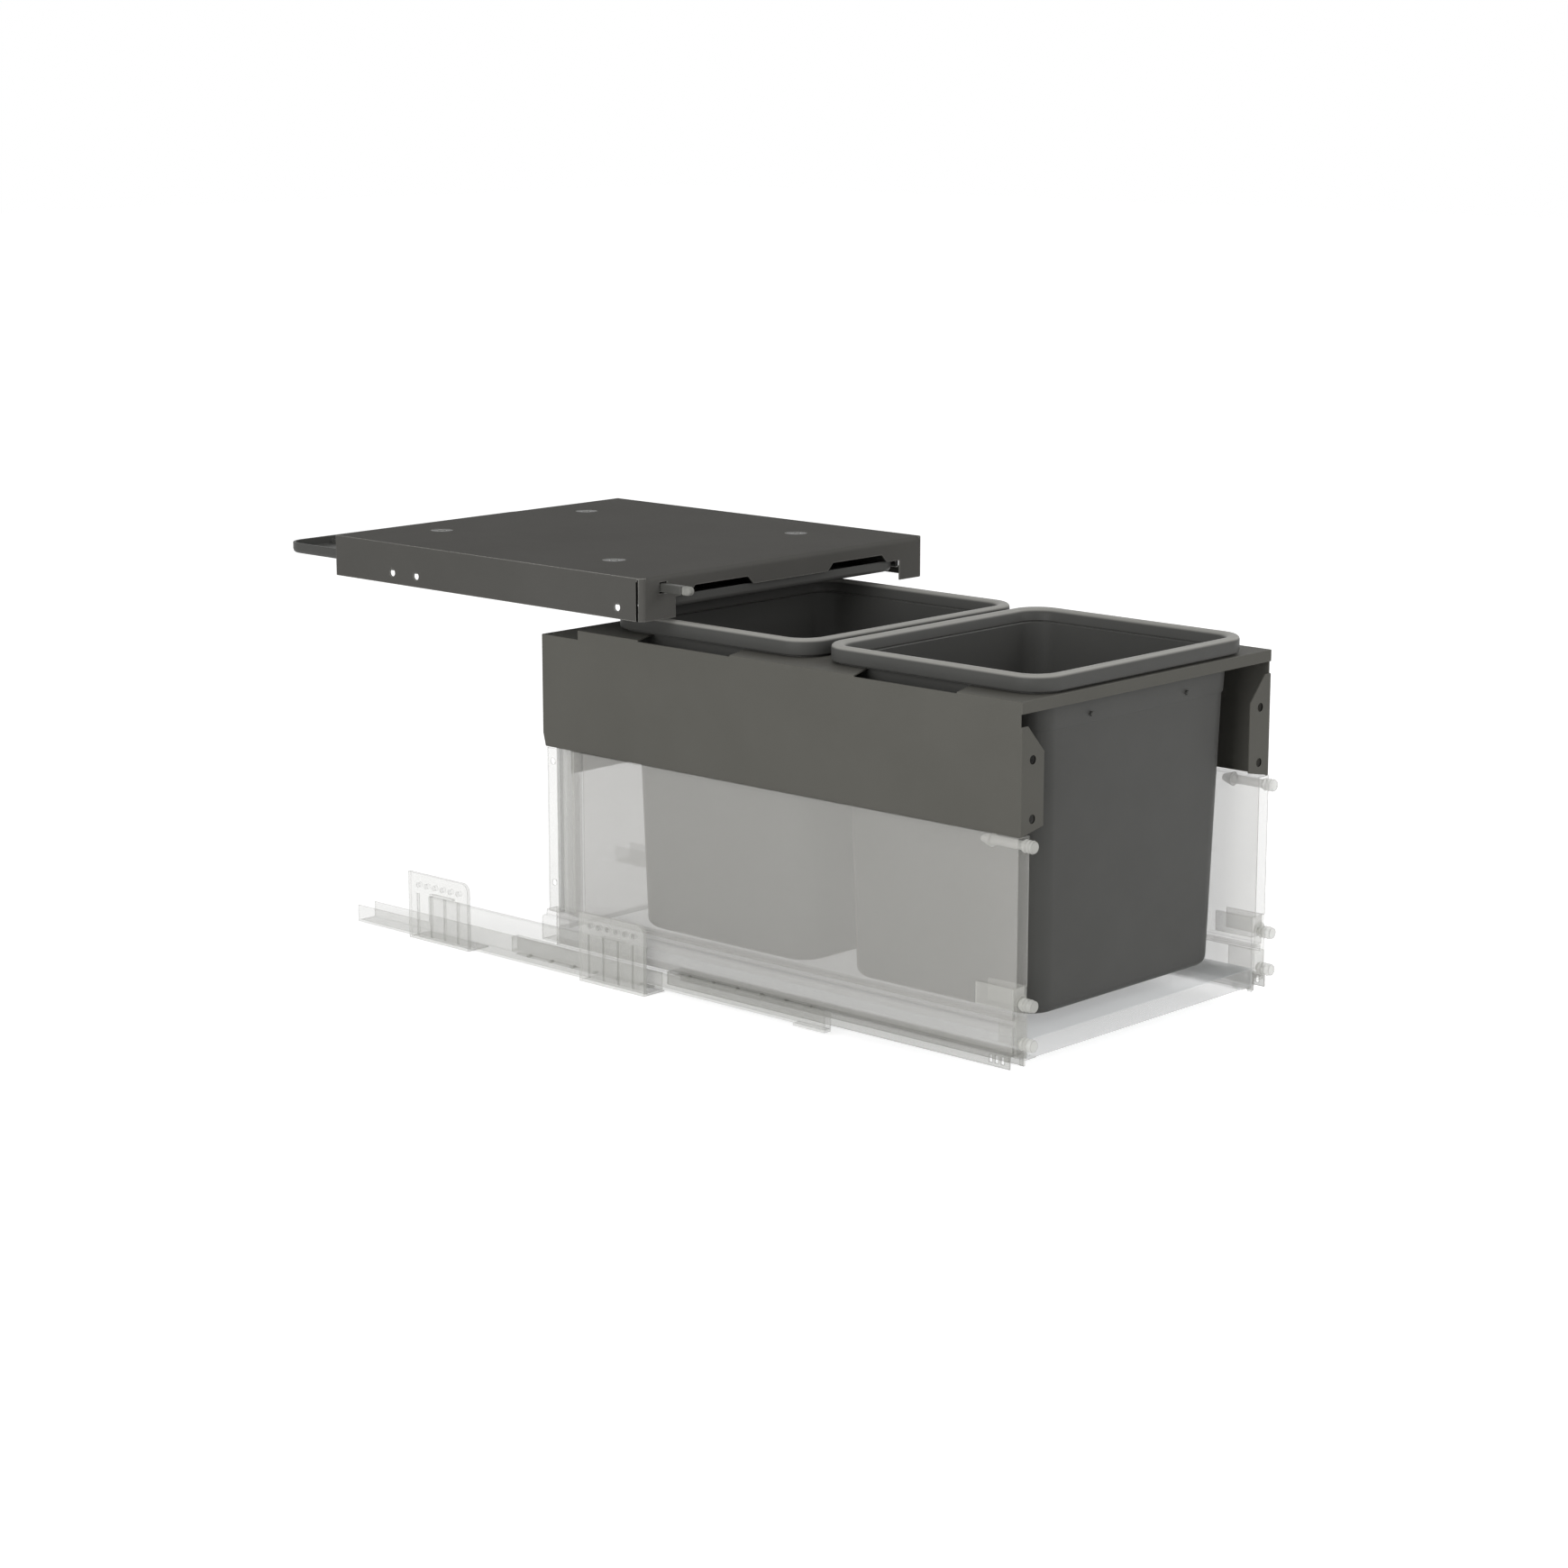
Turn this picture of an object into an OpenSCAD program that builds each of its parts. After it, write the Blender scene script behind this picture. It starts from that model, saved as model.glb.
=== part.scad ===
// Pull-out waste unit for a kitchen base cabinet: two bins in a sheet-steel frame that stands on a
// drawer, and a lid unit fixed to the cabinet whose plate drops onto the bins as the drawer closes.
// X = 0 is the middle of the cabinet, Y = 0 the front edge of the cabinet, Z = 0 the cabinet's floor.
// +Y points into the cabinet. The drawer is drawn pulled out by pull_out.

/* [Cabinet] */
// Outside width of the cabinet that the unit is made for
cabinet_w = 400; // [380:5:450]
// Thickness of the cabinet's side boards
board_t = 19; // [16:1:19]
// How far the drawer stands out of the cabinet
pull_out = 398; // [360:2:398]

/* [Lid housing] */
// Length of the housing from front to back
lid_len = 396; // [390:1:430]
// Height of the housing's side walls
lid_h = 37; // [36:1:44]
// Sheet thickness of the housing
lid_sheet = 1.5; // [1:0.1:2]
// Diameter of the round holes in the housing's top
top_hole_d = 20; // [19:0.5:24]

/* [Lid plate] */
// Height of the plate's rim
plate_h = 10; // [8:0.5:11]
// Wall thickness of the plate
plate_wall = 2.5; // [2:0.1:3]
// Distance that the plate drops onto the bins
lift = 11; // [9:0.5:12]
// Distance that the push rod stands out in front of the housing
rod_out = 34; // [28:1:36]

/* [Bin frame] */
// Length of the frame
frame_len = 538; // [530:1:560]
// Height of the frame's side panels
frame_h = 107; // [95:1:120]
// Sheet thickness of the frame
frame_sheet = 1.5; // [1:0.1:2]

/* [Bins] */
// Height of a bin's rim
rim_h = 12.5; // [10:0.5:16]
// Wall thickness of a bin
bin_wall = 2.5; // [1.8:0.1:3]
// Gap between the rims of the two bins
bin_gap = 12.6; // [6:0.2:20]
// Free height between the bins and the drawer's floor
bin_clear = 7.5; // [5:0.5:30]

/* [Drawer] */
// Height of the drawer's sides
side_h = 27; // [26:0.5:32]
// Height of the raised side panels
panel_h = 147; // [120:1:170]
// Thickness of the raised side panels
panel_t = 14; // [14:0.5:15]
// Thickness of the drawer's floor
floor_t = 16; // [12:1:18]

/* [Runners] */
// Length of each rail
rail_len = 378; // [370:1:400]
// Length of a wall bracket
bracket_len = 80; // [70:1:90]
// Height of a wall bracket
bracket_h = 62; // [58:1:68]
// Pitch of the row of holes in the cabinet's boards
hole_grid = 32; // [30:1:33]

/* [Hidden] */

// Overrun of a cut past the face that it opens
cut = 1;
// Thickness of the slices that a hull joins
skin = 0.4;
// Running gap between a roller or pin and what it runs on
run_gap = 0.05;
// Free gap between pieces that pass each other
free_gap = 0.5;
// Facets of round shapes, and of the corners inside a hull
round_fn = 48;
hull_fn = 32;

// Widths, from the cabinet inwards: u is the distance from the middle to one side
inner_u = cabinet_w / 2 - board_t;
lid_board_gap = 1.5;
lid_u = inner_u - lid_board_gap;
frame_board_gap = 17;
frame_u = inner_u - frame_board_gap;
rim_frame_gap = 24.5;
rim_u = frame_u - rim_frame_gap;

// Runner section, from the bracket inwards
bracket_t = 3.5;
rail_sheet = 1.5;
rail_u1 = inner_u - bracket_t;
cabinet_rail_w = 21.5;
rail_u0 = rail_u1 - cabinet_rail_w;
drawer_rail_w = 17.5;
drawer_rail_side_gap = 5;
drawer_rail_u1 = rail_u1 - rail_sheet - drawer_rail_side_gap;
drawer_rail_u0 = drawer_rail_u1 - drawer_rail_w;
mid_rail_w = 8.5;
mid_rail_side_gap = 1.5;
mid_u1 = drawer_rail_u1 - rail_sheet - mid_rail_side_gap;
mid_u0 = mid_u1 - mid_rail_w;

// Runner heights, from the floor upwards
foot_t = 1.2;
roller_d = 2.9;
roller_room = roller_d + 2 * run_gap;
cabinet_rail_floor = foot_t + rail_sheet;
cabinet_rail_h = 16;
cabinet_rail_lip_h = 15.5;
upright_h = 40;
upright_len = 279;
upright_hem = 4;
mid_z0 = cabinet_rail_floor + roller_room;
mid_rail_h = 14;
mid_z1 = mid_z0 + mid_rail_h;
drawer_rail_top = mid_z1 + roller_room + rail_sheet;
drawer_rail_h = 11.5;
rail_y0 = 2;
roller_len = 5;
roller_pitch = 28;
roller_count = 6;
cage_t = 1.2;
cage_w = 6.5;
cage_slack = 5;
pocket_side_gap = 0.3;

// Heights of the drawer and the bins
side_z0 = drawer_rail_top;
panel_z0 = side_z0 + side_h;
frame_z0 = panel_z0 + panel_h;
frame_z1 = frame_z0 + frame_h;
floor_drop = 7;
floor_z0 = side_z0 - floor_drop;
floor_z1 = floor_z0 + floor_t;
rim_seat_h = 3.2;
rim_seat_in = 1.5;
rim_z0 = frame_z1 + rim_seat_h;
rim_z1 = rim_z0 + rim_h;
bin_z0 = floor_z1 + bin_clear;

// Heights of the lid
lid_rim_gap = 3.3;
lid_z0 = rim_z1 + lid_rim_gap;
lid_z1 = lid_z0 + lid_h;
lid_under = lid_z1 - lid_sheet;
plate_z0 = rim_z1 + lift + free_gap;
plate_z1 = plate_z0 + plate_h;

// Places of the bins along the drawer
bin_front_gap = 2.2;
bin_rear_gap = 56.8;
rim_len = (frame_len - bin_front_gap - bin_rear_gap - bin_gap) / 2;
bin_pitch = rim_len + bin_gap;
rim_corner = 27;
rim_roll = 5;
rim_roll_h = 5;
body_inset = 9;
body_draft_x = 7.5;
body_draft_y = 5.5;
band_h = 31;
band_proud = 1.5;
foot_round = 8;
nub_d = 4;
nub_out = 1.2;
nub_spread = 126;
nub_drop = 24.5;
ledge_drop = 11.5;
ledge_w = 1.2;

// Bin frame
opening_gap = 1.5;
lip_h = 10;
rear_step_len = 45;
rear_step_h = 8;
notch_front = 64;
notch_len = 108;
notch_slant = 12;
notch_widen = 14;
flange_w = 28;
flange_top_drop = 20;
flange_slant_w = 20;
flange_slant_h = 21;
flange_edge_drop = 1;
flange_foot_rise = 5.5;
door_hole_d = 7;
door_hole_u = 150;
door_hole_z = 12.8;
door_hole_rise = 47;
rear_flange_u = 131;
rear_flange_drop = 137;
heel_w = 3;
heel_h = 12;

// Drawer side section
side_t = 1.2;
side_in = 150;
side_w = 18.5;
side_neck_h = 4.5;
side_neck_in = 5.5;
side_shoulder = 1.5;
side_front_gap = 2;
floor_front_gap = 0.5;
side_len = frame_len - side_front_gap;
ledge_under_w = 12;

// Raised panel, posts and back
panel_u0 = 152;
panel_u1 = panel_u0 + panel_t;
panel_y0 = 0.5;
panel_skin = 0.8;
panel_rear_gap = 38;
post_w = 27;
post_y0 = frame_len - 34;
post_t = 1.5;
post_step = 6;
post_hole_d = 5;
post_hole_shares = [0.18, 0.92];
back_t = 14;
back_y1 = frame_len - frame_sheet;

// Front bracket, cap and door fixings
front_plate_t = 2;
front_plate_drop = 3;
fixing_u = (panel_u0 + panel_u1) / 2;
fixing_pitch = 32;
lower_fixing_z = 8;
lug_r = 7.5;
dowel_d = 11;
dowel_out = 12.5;
shank_d = 6;
leg_len = 28;
upper_dowel_d = 11;
upper_dowel_out = 10.5;
upper_shank_d = 7.5;
upper_shank_len = 31;
head_skin_gap = 0.1;
upper_head_d = panel_t - 2 * panel_skin - 2 * head_skin_gap;
upper_head_neck_d = 6;
upper_head_len = 10;
barb_pitch = 3.5;
barb_depth = 0.8;
cap_t = 1.5;
cap_len = 39;
cap_h = 18;
cap_rise = 8;

// Rail catch and mid stop
catch_h = 12;
catch_len = 20;
stop_len = 36;
stop_gap = 0.4;
slot_len = 3;
slot_h = 6;
slot_pitch = 6;

// Wall bracket
bracket_y0 = 0;
bracket_steps = 7;
groove_count = 4;
groove_w = 2.5;
groove_d = 1.2;
groove_pitch = 18;
groove_z0 = 5;
groove_top_gap = 19;
bracket_hole_d = 4.2;
bracket_hole_count = 6;
bracket_hole_drop = 11;
bracket_corner = 8;
hook_t = 2;
hook_len = 30;
hook_gap = 0.3;

// Lid housing details
bend_r = 5;
front_bend_r = 4;
wall_end_gap = 1.2;
side_hole_d = 6.4;
side_hole_y0 = 30;
side_hole_z = 10;
side_hole_steps = [0, 8, 9];
flange_mid_h = 18;
flange_cut_h = 7;
flange_cut_w = 79;
flange_cut_pitch = 174;
flange_cut_slant = 7;
flange_tab_w = 36;
flange_shift = 4.2;
rear_flange_h = 6;
rear_hem_gap = 1;
hole_front_u = 116;
hole_front_y = 98;
hole_rear_u = 92;
hole_rear_y = 349;
top_holes = [[hole_front_u, hole_front_y], [hole_rear_u, hole_rear_y]];

// Lid plate and its lift
plate_u = 152.5;
plate_y0 = 4;
plate_over = 20;
plate_len = 2 * rim_len + bin_gap + plate_over;
plate_corner = 20;
plate_rib_h = 4;
plate_rib_t = 2;
plate_rib_steps = [-2, -1, 0, 1, 2];
plate_rib_pitch = 48;
boss_r = 7;
boss_h = 5;
stud_d = 8;
stud_top_gap = 1;
bush_flange_r = 13;
bush_flange_t = 1.5;
bush_sleeve_r = 7;
bush_sleeve_h = 14;
bush_top_gap = 0.4;
bush_hole_gap = 0.2;
pin_d = 5;
pin_over = 8.5;
pin_rest_z = plate_z1 + pin_over;
pin_front_y = 60;
pin_rear_y = 330;
pin_places = [pin_front_y, pin_rear_y];
pin_end = 0.5;
lug_w = 16;
lug_t = 3;
lug_over = 4;
cam_t = 3.5;
cam_plate_gap = 1.5;
cam_u0 = plate_u + cam_plate_gap;
cam_u1 = cam_u0 + cam_t;
cam_y0 = 10;
cam_y1 = 356;
cam_foot = 5.5;
cam_z0 = pin_rest_z - lift - cam_foot;
cam_top_gap = 1;
cam_z1 = lid_under - cam_top_gap;
guide_t = 2;
guide_u0 = cam_u1 + free_gap;
guide_u1 = guide_u0 + guide_t;
guide_y0 = 40;
guide_y1 = 355;
guide_foot_t = 2;
guide_foot_gap = 0.3;
guide_flange_w = 12;
rod_w = 7;
rod_h = 7.5;
rod_tip_len = 10;
rod_tongue = 6;
rod_u1 = cam_u1;
rod_u0 = rod_u1 - rod_w;
rod_top_gap = 3.7;
rod_z1 = cam_z1 - rod_top_gap;
rod_z0 = rod_z1 - rod_h;
window_gap = 1;
cross_y0 = 200;
cross_w = 16;
cross_t = 3;
cross_tab_h = 9;
spring_u = 60;
spring_y = 150;
spring_r = 4;
wire_r = 0.6;
spring_turns = 8;
spring_rings = 8;
spring_sides = 6;
spring_end_gap = 0.3;

// A box between named faces
module block(x0, x1, y0, y1, z0, z1) {
    translate([x0, y0, z0]) cube([x1 - x0, y1 - y0, z1 - z0]);
}

// A rectangle with round corners, centred
module round_rect(w, l, r) {
    square([w - 2 * r, l], center = true);
    square([w, l - 2 * r], center = true);
    for (x = [-1, 1], y = [-1, 1]) {
        translate([x * (w / 2 - r), y * (l / 2 - r)]) circle(r = r, $fn = round_fn);
    }
}

// A piece drawn for the right side, put on the right (1) or mirrored to the left (-1)
module on_side(side) {
    if (side > 0) {
        children();
    } else {
        mirror([1, 0, 0]) children();
    }
}

// A piece drawn in the drawer's own frame, whose Y = 0 is its front plane
module on_drawer() {
    translate([0, -pull_out, 0]) children();
}

// An outline in X and Z, run back from Y = y0 over a length
module run_back(y0, length) {
    translate([0, y0 + length, 0]) rotate([90, 0, 0]) linear_extrude(length) children();
}

// A round bar or hole along X
module bar_x(u0, u1, y, z, d) {
    translate([u0, y, z]) rotate([0, 90, 0]) cylinder(d = d, h = u1 - u0, $fn = round_fn);
}

// A round bar or hole along Y
module bar_y(x, y0, y1, z, d) {
    translate([x, y1, z]) rotate([90, 0, 0]) cylinder(d = d, h = y1 - y0, $fn = round_fn);
}

// Lid unit, fixed to the cabinet

module housing_flange() {
    low = lid_z0 + flange_mid_h;
    tab_u = lid_u - flange_tab_w;
    run_back(0, lid_sheet) difference() {
        translate([bend_r - lid_u, lid_z0]) square([2 * (lid_u - bend_r), lid_h - front_bend_r]);
        translate([flange_shift - tab_u, lid_z0 - cut]) square([2 * tab_u, flange_mid_h + cut]);
        for (side = [-1, 1]) {
            translate([flange_shift + side * flange_cut_pitch / 2, low]) polygon([
                [-flange_cut_w / 2, -skin],
                [flange_cut_w / 2, -skin],
                [flange_cut_w / 2, 0],
                [flange_cut_w / 2 - flange_cut_slant, flange_cut_h],
                [flange_cut_slant - flange_cut_w / 2, flange_cut_h],
                [-flange_cut_w / 2, 0]
            ]);
        }
    }
}

// Round bend between the flange and the top
module housing_front_bend() {
    translate([bend_r - lid_u, front_bend_r, lid_z1 - front_bend_r]) rotate([90, 0, 90]) {
        linear_extrude(2 * (lid_u - bend_r)) intersection() {
            difference() {
                circle(r = front_bend_r, $fn = round_fn);
                circle(r = front_bend_r - lid_sheet, $fn = round_fn);
            }
            translate([-front_bend_r, 0]) square(front_bend_r);
        }
    }
}

module housing_bend() {
    translate([lid_u - bend_r, bend_r, lid_z0]) linear_extrude(lid_under - lid_z0) intersection() {
        difference() {
            circle(r = bend_r, $fn = round_fn);
            circle(r = bend_r - lid_sheet, $fn = round_fn);
        }
        translate([0, -bend_r]) square(bend_r);
    }
}

module housing_top() {
    translate([0, 0, lid_under]) linear_extrude(lid_sheet) difference() {
        translate([-lid_u, front_bend_r]) square([2 * lid_u, lid_len - front_bend_r]);
        for (side = [-1, 1], hole = top_holes) {
            translate([side * hole[0], hole[1]]) circle(d = top_hole_d, $fn = round_fn);
        }
    }
    // Quarter rounds over the corner bends
    translate([0, 0, lid_under]) linear_extrude(lid_sheet) for (side = [-1, 1]) {
        translate([side * (lid_u - bend_r), bend_r]) intersection() {
            circle(r = bend_r, $fn = round_fn);
            translate([side > 0 ? 0 : -bend_r, -bend_r]) square(bend_r);
        }
    }
}

module lid_housing() {
    wall_y0 = bend_r + wall_end_gap;
    color("#565653") difference() {
        union() {
            housing_top();
            housing_front_bend();
            housing_flange();
            for (side = [-1, 1]) {
                on_side(side) {
                    housing_bend();
                    block(lid_u - lid_sheet, lid_u, wall_y0, lid_len, lid_z0, lid_under);
                }
            }
            block(
                -lid_u + lid_sheet + rear_hem_gap, lid_u - lid_sheet - rear_hem_gap,
                lid_len - lid_sheet, lid_len, lid_under - rear_flange_h, lid_under
            );
        }
        for (step = side_hole_steps) {
            bar_x(-lid_u - cut, lid_u + cut, side_hole_y0 + step * hole_grid, lid_z0 + side_hole_z, side_hole_d);
        }
        on_side(-1) block(
            rod_u0 - window_gap, rod_u1 + window_gap, -cut, lid_sheet + cut,
            rod_z0 - window_gap, rod_z1 + window_gap
        );
    }
}

module guide_bush() {
    sleeve_z0 = lid_under - bush_flange_t - bush_sleeve_h;
    difference() {
        union() {
            translate([0, 0, sleeve_z0]) cylinder(r = bush_sleeve_r, h = bush_sleeve_h, $fn = round_fn);
            translate([0, 0, lid_under - bush_flange_t]) {
                cylinder(r = bush_flange_r, h = bush_flange_t, $fn = round_fn);
                cylinder(
                    d = top_hole_d - 2 * bush_hole_gap,
                    h = bush_flange_t + lid_sheet - bush_top_gap, $fn = round_fn
                );
            }
        }
        translate([0, 0, sleeve_z0 - cut]) {
            cylinder(d = stud_d + 2 * run_gap, h = bush_sleeve_h + bush_flange_t + lid_sheet + 2 * cut, $fn = round_fn);
        }
    }
}

module guide_bushes() {
    color("#3a3a38") for (side = [-1, 1], hole = top_holes) {
        translate([side * hole[0], hole[1], 0]) guide_bush();
    }
}

// Side plate with the upright slots that keep the pins from moving along
module slot_guide() {
    foot_z1 = cam_z0 - guide_foot_gap;
    slot_d = pin_d + 2 * run_gap;
    color("#8d8d88") difference() {
        union() {
            block(guide_u0, guide_u1, guide_y0, guide_y1, foot_z1 - guide_foot_t, lid_under);
            block(cam_u0, guide_u1, guide_y0, guide_y1, foot_z1 - guide_foot_t, foot_z1);
            block(
                guide_u0, guide_u1 + guide_flange_w, guide_y0, guide_y1,
                lid_under - guide_t, lid_under
            );
        }
        for (y = pin_places) {
            bar_x(guide_u0 - cut, guide_u1 + cut, y, pin_rest_z, slot_d);
            bar_x(guide_u0 - cut, guide_u1 + cut, y, pin_rest_z - lift, slot_d);
            block(
                guide_u0 - cut, guide_u1 + cut, y - slot_d / 2, y + slot_d / 2,
                pin_rest_z - lift, pin_rest_z
            );
        }
    }
}

// Push rod, lift cams and cross bar, which slide back together

module push_rod() {
    color("#4c4b49") on_side(-1) {
        block(rod_u0, rod_u1, rod_tip_len - rod_out, cam_y0, rod_z0, rod_z1);
        block(rod_u0, cam_u0, cam_y0, cam_y0 + rod_tongue, rod_z0, rod_z1);
    }
}

module rod_tip() {
    nose_y = rod_h / 2 - rod_out;
    color("#9a9a95") on_side(-1) {
        block(rod_u0, rod_u1, nose_y, rod_tip_len - rod_out, rod_z0, rod_z1);
        intersection() {
            bar_x(rod_u0, rod_u1, nose_y, (rod_z0 + rod_z1) / 2, rod_h);
            block(rod_u0, rod_u1, -rod_out, nose_y, rod_z0, rod_z1);
        }
    }
}

// Flat bar with slots that slope down towards the front
module lift_cam() {
    slot_d = pin_d + 2 * run_gap;
    slope = atan(lift / rod_out);
    reach = sqrt(lift * lift + rod_out * rod_out);
    color("#b9b9b3") difference() {
        block(cam_u0, cam_u1, cam_y0, cam_y1, cam_z0, cam_z1);
        for (y = pin_places) {
            translate([0, y, pin_rest_z]) rotate([slope, 0, 0]) {
                bar_x(cam_u0 - cut, cam_u1 + cut, 0, 0, slot_d);
                bar_x(cam_u0 - cut, cam_u1 + cut, -reach, 0, slot_d);
                block(cam_u0 - cut, cam_u1 + cut, -reach, 0, -slot_d / 2, slot_d / 2);
            }
        }
    }
}

module cross_bar() {
    color("#b9b9b3") {
        block(-cam_u0, cam_u0, cross_y0, cross_y0 + cross_w, cam_z1 - cross_t, cam_z1);
        for (side = [-1, 1]) {
            on_side(side) block(
                cam_u0 - cross_t, cam_u0, cross_y0, cross_y0 + cross_w,
                cam_z1 - cross_tab_h, cam_z1
            );
        }
    }
}

// Lid plate and what rides with it

module plate_shell() {
    translate([0, plate_y0 + plate_len / 2, 0]) difference() {
        translate([0, 0, plate_z0]) linear_extrude(plate_h) {
            round_rect(2 * plate_u, plate_len, plate_corner);
        }
        translate([0, 0, plate_z0 + plate_wall]) linear_extrude(plate_h) {
            round_rect(
                2 * (plate_u - plate_wall), plate_len - 2 * plate_wall,
                plate_corner - plate_wall
            );
        }
    }
}

module plate_ribs() {
    floor_z = plate_z0 + plate_wall;
    for (step = plate_rib_steps) {
        block(
            step * plate_rib_pitch - plate_rib_t / 2, step * plate_rib_pitch + plate_rib_t / 2,
            plate_y0 + plate_wall, plate_y0 + plate_len - plate_wall, floor_z, floor_z + plate_rib_h
        );
    }
}

module lid_plate() {
    floor_z = plate_z0 + plate_wall;
    color("#4c4b49") difference() {
        union() {
            plate_shell();
            plate_ribs();
            for (side = [-1, 1], hole = top_holes) {
                translate([side * hole[0], hole[1], floor_z]) cylinder(r = boss_r, h = boss_h, $fn = round_fn);
            }
            for (side = [-1, 1], y = pin_places) {
                on_side(side) block(
                    plate_u - lug_t, plate_u, y - lug_w / 2, y + lug_w / 2,
                    floor_z, pin_rest_z + lug_over
                );
            }
        }
        for (side = [-1, 1], hole = top_holes) {
            translate([side * hole[0], hole[1], floor_z]) cylinder(d = stud_d, h = boss_h + cut, $fn = round_fn);
        }
        for (side = [-1, 1], y = pin_places) {
            on_side(side) bar_x(plate_u - lug_t - cut, plate_u + cut, y, pin_rest_z, pin_d);
        }
    }
}

module guide_studs() {
    stud_z0 = plate_z0 + plate_wall;
    color("#a8a8a4") for (side = [-1, 1], hole = top_holes) {
        translate([side * hole[0], hole[1], stud_z0]) {
            cylinder(d = stud_d, h = lid_z1 - stud_top_gap - stud_z0, $fn = round_fn);
        }
    }
}

module cam_pins() {
    color("#a8a8a4") for (side = [-1, 1], y = pin_places) {
        on_side(side) bar_x(plate_u - lug_t, guide_u1 + pin_end, y, pin_rest_z, pin_d);
    }
}

// Coil springs that hold the plate up
spring_z0 = plate_z0 + plate_wall + spring_end_gap + wire_r;
spring_z1 = lid_under - spring_end_gap - wire_r;
function coil_point(t) = [
    spring_r * cos(360 * spring_turns * t),
    spring_r * sin(360 * spring_turns * t),
    spring_z0 + (spring_z1 - spring_z0) * t
];
coil_steps = spring_turns * spring_rings;
coil_path = [for (i = [0:coil_steps]) coil_point(i / coil_steps)];
function coil_ring(i) = let (a = 360 * spring_turns * i / coil_steps) [
    for (k = [0:spring_sides - 1]) let (b = 360 * k / spring_sides) coil_path[i] + [
        wire_r * cos(b) * cos(a), wire_r * cos(b) * sin(a), wire_r * sin(b)
    ]
];
coil_gap = min([
    for (i = [0:coil_steps - spring_rings]) norm(coil_path[i + spring_rings] - coil_path[i])
]) - 2 * wire_r;
echo(least_gap_in_coil = coil_gap);

module coil() {
    n = spring_sides;
    points = [for (i = [0:coil_steps]) for (p = coil_ring(i)) p];
    walls = [
        for (i = [0:coil_steps - 1], k = [0:n - 1]) let (
            a = i * n + k, b = i * n + (k + 1) % n, c = a + n, d = b + n
        ) each [[a, c, b], [b, c, d]]
    ];
    caps = [
        for (k = [1:n - 2]) each [
            [0, k, k + 1],
            [coil_steps * n, coil_steps * n + k + 1, coil_steps * n + k]
        ]
    ];
    polyhedron(points, concat(walls, caps));
}

module lift_springs() {
    color("#a8a8a4") for (side = [-1, 1]) translate([side * spring_u, spring_y, 0]) coil();
}

// Runners

module cabinet_rail() {
    color("#c8c8c2") {
        block(rail_u0, rail_u1, rail_y0, rail_y0 + rail_len, foot_t, foot_t + rail_sheet);
        block(rail_u1 - rail_sheet, rail_u1, rail_y0, rail_y0 + rail_len, foot_t, foot_t + cabinet_rail_h);
        block(rail_u0, rail_u0 + rail_sheet, rail_y0, rail_y0 + rail_len, foot_t, foot_t + cabinet_rail_lip_h);
        block(rail_u1 - rail_sheet, rail_u1, rail_y0, rail_y0 + upright_len, foot_t, foot_t + upright_h);
        block(
            rail_u1 - upright_hem, rail_u1, rail_y0, rail_y0 + upright_len,
            foot_t + upright_h - rail_sheet, foot_t + upright_h
        );
    }
}

module wall_bracket(y0) {
    row_pitch = hole_grid / 3;
    mid_y = y0 + bracket_len / 2;
    hook_z = foot_t + upright_h + hook_gap;
    color("#c0c0ba") difference() {
        union() {
            translate([rail_u1, y0, 0]) rotate([90, 0, 90]) linear_extrude(bracket_t) {
                translate([bracket_corner, 0]) square([bracket_len - bracket_corner, bracket_h]);
                square([bracket_len, bracket_h - bracket_corner]);
                translate([bracket_corner, bracket_h - bracket_corner]) {
                    circle(r = bracket_corner, $fn = round_fn);
                }
            }
            block(rail_u0, inner_u, y0, y0 + bracket_len, 0, foot_t);
            block(
                rail_u1 - upright_hem, rail_u1 + cut, mid_y - hook_len / 2, mid_y + hook_len / 2,
                hook_z, hook_z + hook_t
            );
        }
        for (i = [0:groove_count - 1]) {
            groove_y = mid_y + (i - (groove_count - 1) / 2) * groove_pitch;
            block(
                inner_u - groove_d, inner_u + cut, groove_y - groove_w / 2, groove_y + groove_w / 2,
                groove_z0, bracket_h - groove_top_gap
            );
        }
        for (i = [0:bracket_hole_count - 1]) {
            bar_x(
                rail_u1 - cut, inner_u + cut,
                mid_y + (i - (bracket_hole_count - 1) / 2) * row_pitch,
                bracket_h - bracket_hole_drop, bracket_hole_d
            );
        }
    }
}

mid_y0 = rail_y0 - pull_out / 2;

module mid_rail() {
    color("#d0d0ca") difference() {
        block(mid_u0, mid_u1, mid_y0, mid_y0 + rail_len, mid_z0, mid_z1);
        block(
            mid_u0 + rail_sheet, mid_u1 - rail_sheet, mid_y0 - cut, mid_y0 + rail_len + cut,
            mid_z0 + rail_sheet, mid_z1 - rail_sheet
        );
    }
}

// Foot of the mid rail's front end, which slides in the cabinet rail
module mid_stop() {
    color("#b0b0aa") block(
        mid_u0, mid_u1, mid_y0, mid_y0 + stop_len, cabinet_rail_floor + stop_gap, mid_z0
    );
}

roller_u0 = (mid_u0 + mid_u1 - roller_len) / 2;
cage_u0 = (mid_u0 + mid_u1 - cage_w) / 2;
cage_len = rail_len - pull_out / 2 - 2 * cage_slack;
lower_cage_y0 = rail_y0 + cage_slack;
upper_cage_y0 = rail_y0 + cage_slack - pull_out / 2;
function roller_y(y0, i) = y0 + cage_len / 2 + (i - (roller_count - 1) / 2) * roller_pitch;

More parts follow.
